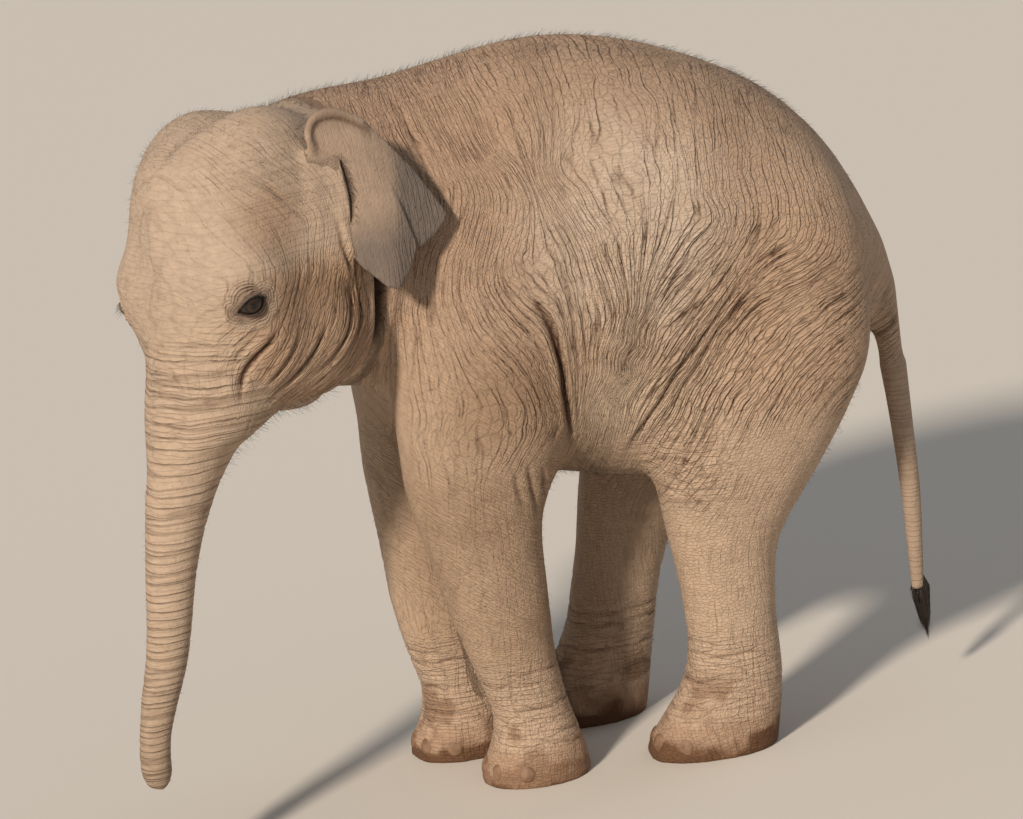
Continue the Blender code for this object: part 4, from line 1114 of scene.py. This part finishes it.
# Painted shade: the colour is darkened and reddened in the depths of folds and wrinkles.
dark = calculate("MULTIPLY_ADD", read("crease_shade", "Fac"), 0.75, calculate("MULTIPLY", wrinkle, 0.60))
shade = multiply_colours(calculate("MINIMUM", dark, 0.95), read("tint", "Color"), linear("#6f5848"))
colour = multiply_colours(1.0, shade, range_of(dust, 0.3, 0.7, 0.90, 1.10))
tree.links.new(colour, surface.inputs["Base Color"])
tree.links.new(bump.outputs[0], surface.inputs["Normal"])
skin.data.materials.clear()
skin.data.materials.append(hide)
shade_soft(skin)
print("hide has", len(tree.nodes), "nodes")

# %% [markdown]
# ## Eyes
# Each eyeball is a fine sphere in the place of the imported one, with its pole looking out between the lids. The
# distance from the pole, as an angle, is written on it, and the material sets the pupil and iris by it.

# %% Eyeballs
eye_wet, tree, surface = new_material("wet_eye", "#2a1a12", 0.06)
angle = calculate("MULTIPLY_ADD", noise(object_place(), 900.0, 2.0), 0.06, read("from_pole", "Fac"))
ramp = add_node(tree, "ValToRGB", _0=range_of(angle, 0.0, 1.2, 0.0, 1.0))
for place, hex_colour in ((0.0, "#050404"), (0.17, "#070504"), (0.20, "#26170e"), (0.42, "#382314"),
                          (0.52, "#0e0907"), (0.60, "#241b16"), (1.0, "#33271f")):
    stops = ramp.color_ramp.elements
    stop = stops[-int(place)] if place in (0.0, 1.0) else stops.new(place)
    stop.color = linear(hex_colour)
tree.links.new(ramp.outputs[0], surface.inputs["Base Color"])

for side, name in ((1, "eye_left"), (-1, "eye_right")):
    centre, turn = EYE_FRAMES[side]
    bpy.ops.mesh.primitive_uv_sphere_add(segments=64, ring_count=48, radius=EYE_RADIUS)
    ball_piece = bpy.context.object
    ball_piece.name = name.replace("eye", "eyeball")
    local = points_of(ball_piece)
    pole_angle = np.arctan2(np.hypot(local[:, 0], local[:, 1]), local[:, 2])
    cornea = 1 + 0.035 * np.exp(-(pole_angle / 0.45) ** 2)
    set_points(ball_piece, centre + (local * cornea[:, None]) @ turn)
    set_attribute(ball_piece, "from_pole", "FLOAT", pole_angle)
    ball_piece.data.materials.append(eye_wet)
    if np.linalg.det(turn) < 0:
        edit(ball_piece, (bpy.ops.mesh.flip_normals, {}))
    shade_soft(ball_piece)
    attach(ball_piece, "root")
    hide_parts(name)
print("eyeballs at", [frame_of_eye[0].round(3).tolist() for frame_of_eye in EYE_FRAMES.values()])

# %% [markdown]
# ## Toenails
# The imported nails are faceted. Copies of each foot's nails are joined, pressed from finer clay and rubbed
# smooth. They are horn under a film of mud.

# %% Toenails
horn, tree, surface = new_material("toenail_horn", "#9c866f", 0.62)
mud = noise(object_place(), 70.0, 4.0)
mixed = add_node(tree, "Mix", {"data_type": "RGBA"}, _0=range_of(mud, 0.40, 0.62, 0.0, 1.0),
                 _6=linear("#86674e"), _7=linear("#6c4f39"))
tree.links.new(mixed.outputs[2], surface.inputs["Base Color"])
tree.links.new(add_node(tree, "Bump", Distance=0.0008, Height=mud).outputs[0], surface.inputs["Normal"])

NAIL_CELL, NAIL_ROUNDS = 0.0014, 26
NAIL_SINK = 0.0026       # how far a nail is pressed into the foot
for foot in ("front_left", "front_right", "hind_left", "hind_right"):
    names = sorted(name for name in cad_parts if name.startswith(foot + "_nail"))
    copies = [link("copy_" + name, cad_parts[name].data.copy()) for name in names]
    choose(*copies)
    bpy.ops.object.join()
    nails = copies[0]
    nails.name = nails.data.name = foot + "_toenails"
    edit(nails, (bpy.ops.mesh.remove_doubles, {"threshold": MERGE}))
    apply_modifier(nails, "REMESH", mode="VOXEL", voxel_size=NAIL_CELL)
    rubbed = spread(points_of(nails), neighbours_of(nails), NAIL_ROUNDS)
    sole = sum(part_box(foot + "_lower_leg"), Vector()) / 2
    inward = np.array([sole.x, sole.y]) - rubbed[:, :2]
    rubbed[:, :2] += NAIL_SINK * inward / np.linalg.norm(inward, axis=1)[:, None]
    set_points(nails, rubbed)
    nails.data.materials.clear()
    nails.data.materials.append(horn)
    shade_soft(nails)
    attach(nails, "root")
    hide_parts(*names)

# %% [markdown]
# ## Hair
# A calf has sparse, stiff hair: most on top of the head and along the back, some under the chin and belly and
# behind the legs, a fringe at the ear's canal, lashes, and a brush of bristles on the tail. Each hair is a thin
# tapered stalk of solid mesh, bent a little. Its root's place on an unwrap of the skin is its place in the map.

# %% Unwrap of the skin's shape, and a maker of hairs
UNWRAP_FACES = 7000
shape = link("skin_shape", skin.data.copy())
apply_modifier(shape, "DECIMATE", ratio=UNWRAP_FACES / len(skin.data.polygons))
edit(shape, (bpy.ops.uv.smart_project, {"island_margin": 0.002}))
shape_tree = tree_of(shape.data)
shape_uv = shape.data.uv_layers.active.data
HAIR_RINGS = (0.0, 0.33, 0.68, 1.0)      # where a hair has its rings of three points, as shares of its length


def map_place(root):
    """Where a root lies on the unwrap."""
    place, _, index, _ = shape_tree.find_nearest(Vector(root))
    face = shape.data.polygons[index]
    corners = [shape.data.vertices[k].co for k in face.vertices[:3]]
    uvs = [shape_uv[loop].uv.to_3d() for loop in list(face.loop_indices)[:3]]
    return barycentric_transform(place, *corners, *uvs)[:2]


def hairs(name, roots, ways, lengths, radius, bends, material):
    """One mesh of thin tapered hairs, each from its root, along its way, and drawn aside by its bend."""
    ways = ways / np.linalg.norm(ways, axis=1)[:, None]
    first = np.cross(ways, (0.31, 0.77, 0.55))
    first /= np.linalg.norm(first, axis=1)[:, None]
    second = np.cross(ways, first)
    points = []
    for t in HAIR_RINGS:
        middle_line = roots + (ways * t + bends * t * t) * lengths[:, None]
        wide = radius * (1 - 0.85 * t)
        for turn in range(3):
            angle = 2 * math.pi * turn / 3
            points.append(middle_line + wide * (first * math.cos(angle) + second * math.sin(angle)))
    points = np.stack(points, axis=1).reshape(-1, 3)
    squares = [(3 * ring + k, 3 * ring + (k + 1) % 3, 3 * ring + 3 + (k + 1) % 3, 3 * ring + 3 + k)
               for ring in range(len(HAIR_RINGS) - 1) for k in range(3)]
    last = 3 * len(HAIR_RINGS)
    triangles = [(a, b, c) for a, b, c, d in squares] + [(a, c, d) for a, b, c, d in squares]
    triangles += [(2, 1, 0), (last - 3, last - 2, last - 1)]
    faces = (np.array(triangles)[None] + last * np.arange(len(roots))[:, None, None]).reshape(-1, 3)
    mesh = bpy.data.meshes.new(name)
    mesh.vertices.add(len(points))
    mesh.vertices.foreach_set("co", points.ravel())
    mesh.loops.add(faces.size)
    mesh.loops.foreach_set("vertex_index", faces.ravel())
    mesh.polygons.add(len(faces))
    mesh.polygons.foreach_set("loop_start", np.arange(len(faces)) * 3)
    mesh.update(calc_edges=True)
    uvs = np.array([map_place(root) for root in roots])
    per_loop = np.repeat(uvs, 3 * len(triangles), axis=0)
    per_loop += 0.0015 * np.tile([(-1.0, -0.6), (1.0, -0.6), (0.0, 1.0)], (len(faces), 1))
    mesh.uv_layers.new(name="OFBake").data.foreach_set("uv", per_loop.ravel())
    obj = link(name, mesh)
    obj.data.materials.append(material)
    shade_soft(obj)
    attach(obj, "root")
    return obj


hair_dark = new_material("elephant_hair", "#2e241d", 0.55)[0]
print("unwrap of", len(shape.data.polygons), "faces")

# %% Hair over the head and body
CHANCE = np.random.default_rng(23)
HAIR_COUNT = 9500
ROOT_DEPTH = 0.001       # how deep a hair's root stands in the skin
skin.data.calc_loop_triangles()
corners = read_all(skin.data.loop_triangles, "vertices", 3, np.int64)
places, facing = points_of(skin), normals_of(skin)
x, y, z = places.T
forward, beside, up = head_places(places)
on_flap = np.maximum(*(in_slab(near_ear(places, side), 0.02, -0.03, math.inf) for side in (1, -1)))
crown = step(0.06, 0.17, up) * (forward > -0.17) * (abs(beside) < 0.17)
ridge = step(0.90, 1.08, z) * fall(0.05, 0.16, abs(y - spine_y)) * (forward < -0.10)
chin = fall(-0.19, -0.14, up) * (abs(forward - 0.04) < 0.10) * (z > 0.55)
belly = step(0.3, 0.8, -facing[:, 2]) * step(0.42, 0.50, z) * (x > -0.1)
behind = step(0.2, 0.7, facing[:, 0]) * fall(0.5, 0.62, z) * step(0.05, 0.1, z)
thick = (0.16 + 0.9 * crown + 1.2 * ridge + 0.8 * chin + 0.6 * belly + 0.35 * behind) * (1 - 0.9 * on_flap)
thick *= (z > 0.04) * (x < 0.60)
thick *= 1 - 0.75 * step(0.06, 0.12, forward) * fall(0.14, 0.20, up) * (up > -0.12)
for centre, turn in EYE_FRAMES.values():
    thick *= step(0.030, 0.045, np.linalg.norm(places - centre, axis=1))
a, b, c = (places[corners[:, k]] for k in range(3))
area = np.linalg.norm(np.cross(b - a, c - a), axis=1) / 2
odds = area * thick[corners].mean(axis=1)
chosen = CHANCE.choice(len(corners), HAIR_COUNT, p=odds / odds.sum())
share = CHANCE.dirichlet((1, 1, 1), HAIR_COUNT)
roots = (places[corners[chosen]] * share[:, :, None]).sum(axis=1)
out = facing[corners[chosen]].mean(axis=1)
long = (0.006 + 0.003 * crown + 0.006 * ridge + 0.010 * np.maximum(chin, belly))[corners[chosen, 0]]
long *= CHANCE.uniform(0.6, 1.3, HAIR_COUNT)
lie = np.array([0.75, 0.0, -0.55]) + CHANCE.normal(0, 0.28, (HAIR_COUNT, 3))
lie -= out * (lie * out).sum(axis=1)[:, None]
coat = hairs("body_hair", roots - out * ROOT_DEPTH, out * 0.75 + lie * 0.75, long, radius=0.00024,
             bends=lie * 0.35 + CHANCE.normal(0, 0.12, (HAIR_COUNT, 3)), material=hair_dark)
print("hairs", HAIR_COUNT, "triangles", faces_of(coat))

# %% Lashes, and the fringe at the ear's canal
roots, ways, bends = [], [], []
skin_tree = tree_of(skin.data)
LASHES, FRINGE = 44, 110         # for each side
for side, (centre, turn) in EYE_FRAMES.items():
    for t in np.linspace(-0.85, 0.9, LASHES):
        a = t * (INNER_CORNER if t < 0 else OUTER_CORNER)
        b = UPPER_EDGE * (1 - abs(t) ** 2.1) + 0.0012
        start_place = Vector(centre + np.array([a, b, 0.05]) @ turn)
        hit = skin_tree.ray_cast(start_place, Vector(-turn[2]))[0]
        if hit is not None:
            roots.append(np.array(hit) - turn[2] * ROOT_DEPTH)
            ways.append(np.array([0.35 * t, 0.15 + CHANCE.normal(0, 0.12), 0.8]) @ turn)
            bends.append(np.array([0.25 * t, -0.55, 0.0]) @ turn)
    for t in CHANCE.uniform(0.02, 1, FRINGE):
        back, up_ear = CANAL[int(t * (len(CANAL) - 1))] + CHANCE.normal(0, 0.0022, 2)
        hit = skin_tree.ray_cast(on_ear(back + 0.004, up_ear, 0.06, side), ear_way(0, 0, -1, side))[0]
        if hit is not None:
            roots.append(np.array(hit))
            ways.append(np.array(ear_way(-0.2, CHANCE.normal(0, 0.2), 0.75, side)))
            bends.append(np.array(ear_way(-0.5, CHANCE.normal(0, 0.25), 0.0, side)))
hairs("lashes_and_ear_fringe", np.array(roots), np.array(ways), CHANCE.uniform(0.008, 0.013, len(roots)),
      radius=0.00030, bends=np.array(bends), material=hair_dark)
print("lashes and fringe", len(roots))

# %% The brush on the tail
TAIL_HAIRS = 420
TAIL_LEAN = 0.06         # how far back the tail hangs, for its drop
low, high = (np.array(corner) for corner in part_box("tail_tuft"))
t = CHANCE.uniform(0, 1, TAIL_HAIRS)
heights = high[2] + 0.035 - 0.060 * t
hang = np.array([TAIL_LEAN, 0.0, -1.0])
turn_round = CHANCE.uniform(0, 2 * math.pi, TAIL_HAIRS)
away = np.column_stack([np.cos(turn_round), 0.35 * np.sin(turn_round), 0 * t])
roots = np.column_stack([(low[0] + high[0]) / 2 + 0 * t, (low[1] + high[1]) / 2 + 0 * t, heights]) + away * 0.004
roots[:, 0] -= TAIL_LEAN * (heights - low[2])
lengths = (heights - low[2]) * CHANCE.uniform(0.65, 0.98, TAIL_HAIRS)
tuft = hairs("tail_brush", roots, hang + away * 0.70, lengths, radius=0.00060, bends=-away * 0.75,
             material=hair_dark)
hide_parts("tail_tuft")
bpy.data.objects.remove(shape)
print("tail brush", TAIL_HAIRS)

# %% [markdown]
# ## Stage
# A plain pale floor, one key light from the upper left, a weak light from behind, and an even, pale sky for
# fill. The camera looks down a little and leans, as if from the side of a hill.

# %% Floor, lights and camera
bpy.ops.mesh.primitive_plane_add(size=80, location=(0, 0, 0))
floor = bpy.context.object
floor.name = "floor"
floor.data.materials.append(new_material("pale_floor", "#cfc8be", 0.9)[0])

world = bpy.data.worlds.new("studio")
bpy.context.scene.world = world
world.use_nodes = True
sky = world.node_tree.nodes["Background"].inputs
sky["Color"].default_value = linear("#dfe3e8")
sky["Strength"].default_value = 0.37


def add_sun(name, from_place, energy, width, colour):
    light = bpy.data.lights.new(name, "SUN")
    light.energy = energy
    light.angle = math.radians(width)
    light.color = linear(colour)[:3]
    sun = link(name, light)
    sun.matrix_world = Vector(from_place).to_track_quat("Z", "Y").to_matrix().to_4x4()


# name, where from, strength, width in degrees, colour
add_sun("key", (-0.62, -0.88, 0.66), 3.65, 6, "#fff3e4")
add_sun("rim", (0.60, 0.30, 0.70), 0.30, 30, "#eef2ff")

TARGET, DISTANCE = Vector((0.014, 0.126, 0.56)), 8.5
AZIMUTH, ELEVATION, LEAN = math.radians(-6), math.radians(15), math.radians(7)
back = Vector((math.sin(AZIMUTH) * math.cos(ELEVATION), -math.cos(AZIMUTH) * math.cos(ELEVATION),
               math.sin(ELEVATION)))
right = Vector((0, 0, 1)).cross(back).normalized()
upward = back.cross(right)
turned = Matrix((right * math.cos(LEAN) - upward * math.sin(LEAN),
                 right * math.sin(LEAN) + upward * math.cos(LEAN), back)).transposed()
camera_data = bpy.data.cameras.new("camera")
camera_data.sensor_width, camera_data.lens = 36, 184.6
camera = link("camera", camera_data)
camera.matrix_world = Matrix.Translation(TARGET + back * DISTANCE) @ turned.to_4x4()
bpy.context.scene.camera = camera
bpy.context.scene.view_settings.view_transform = "Standard"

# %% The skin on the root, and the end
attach(skin, "root")
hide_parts(*FLESH)
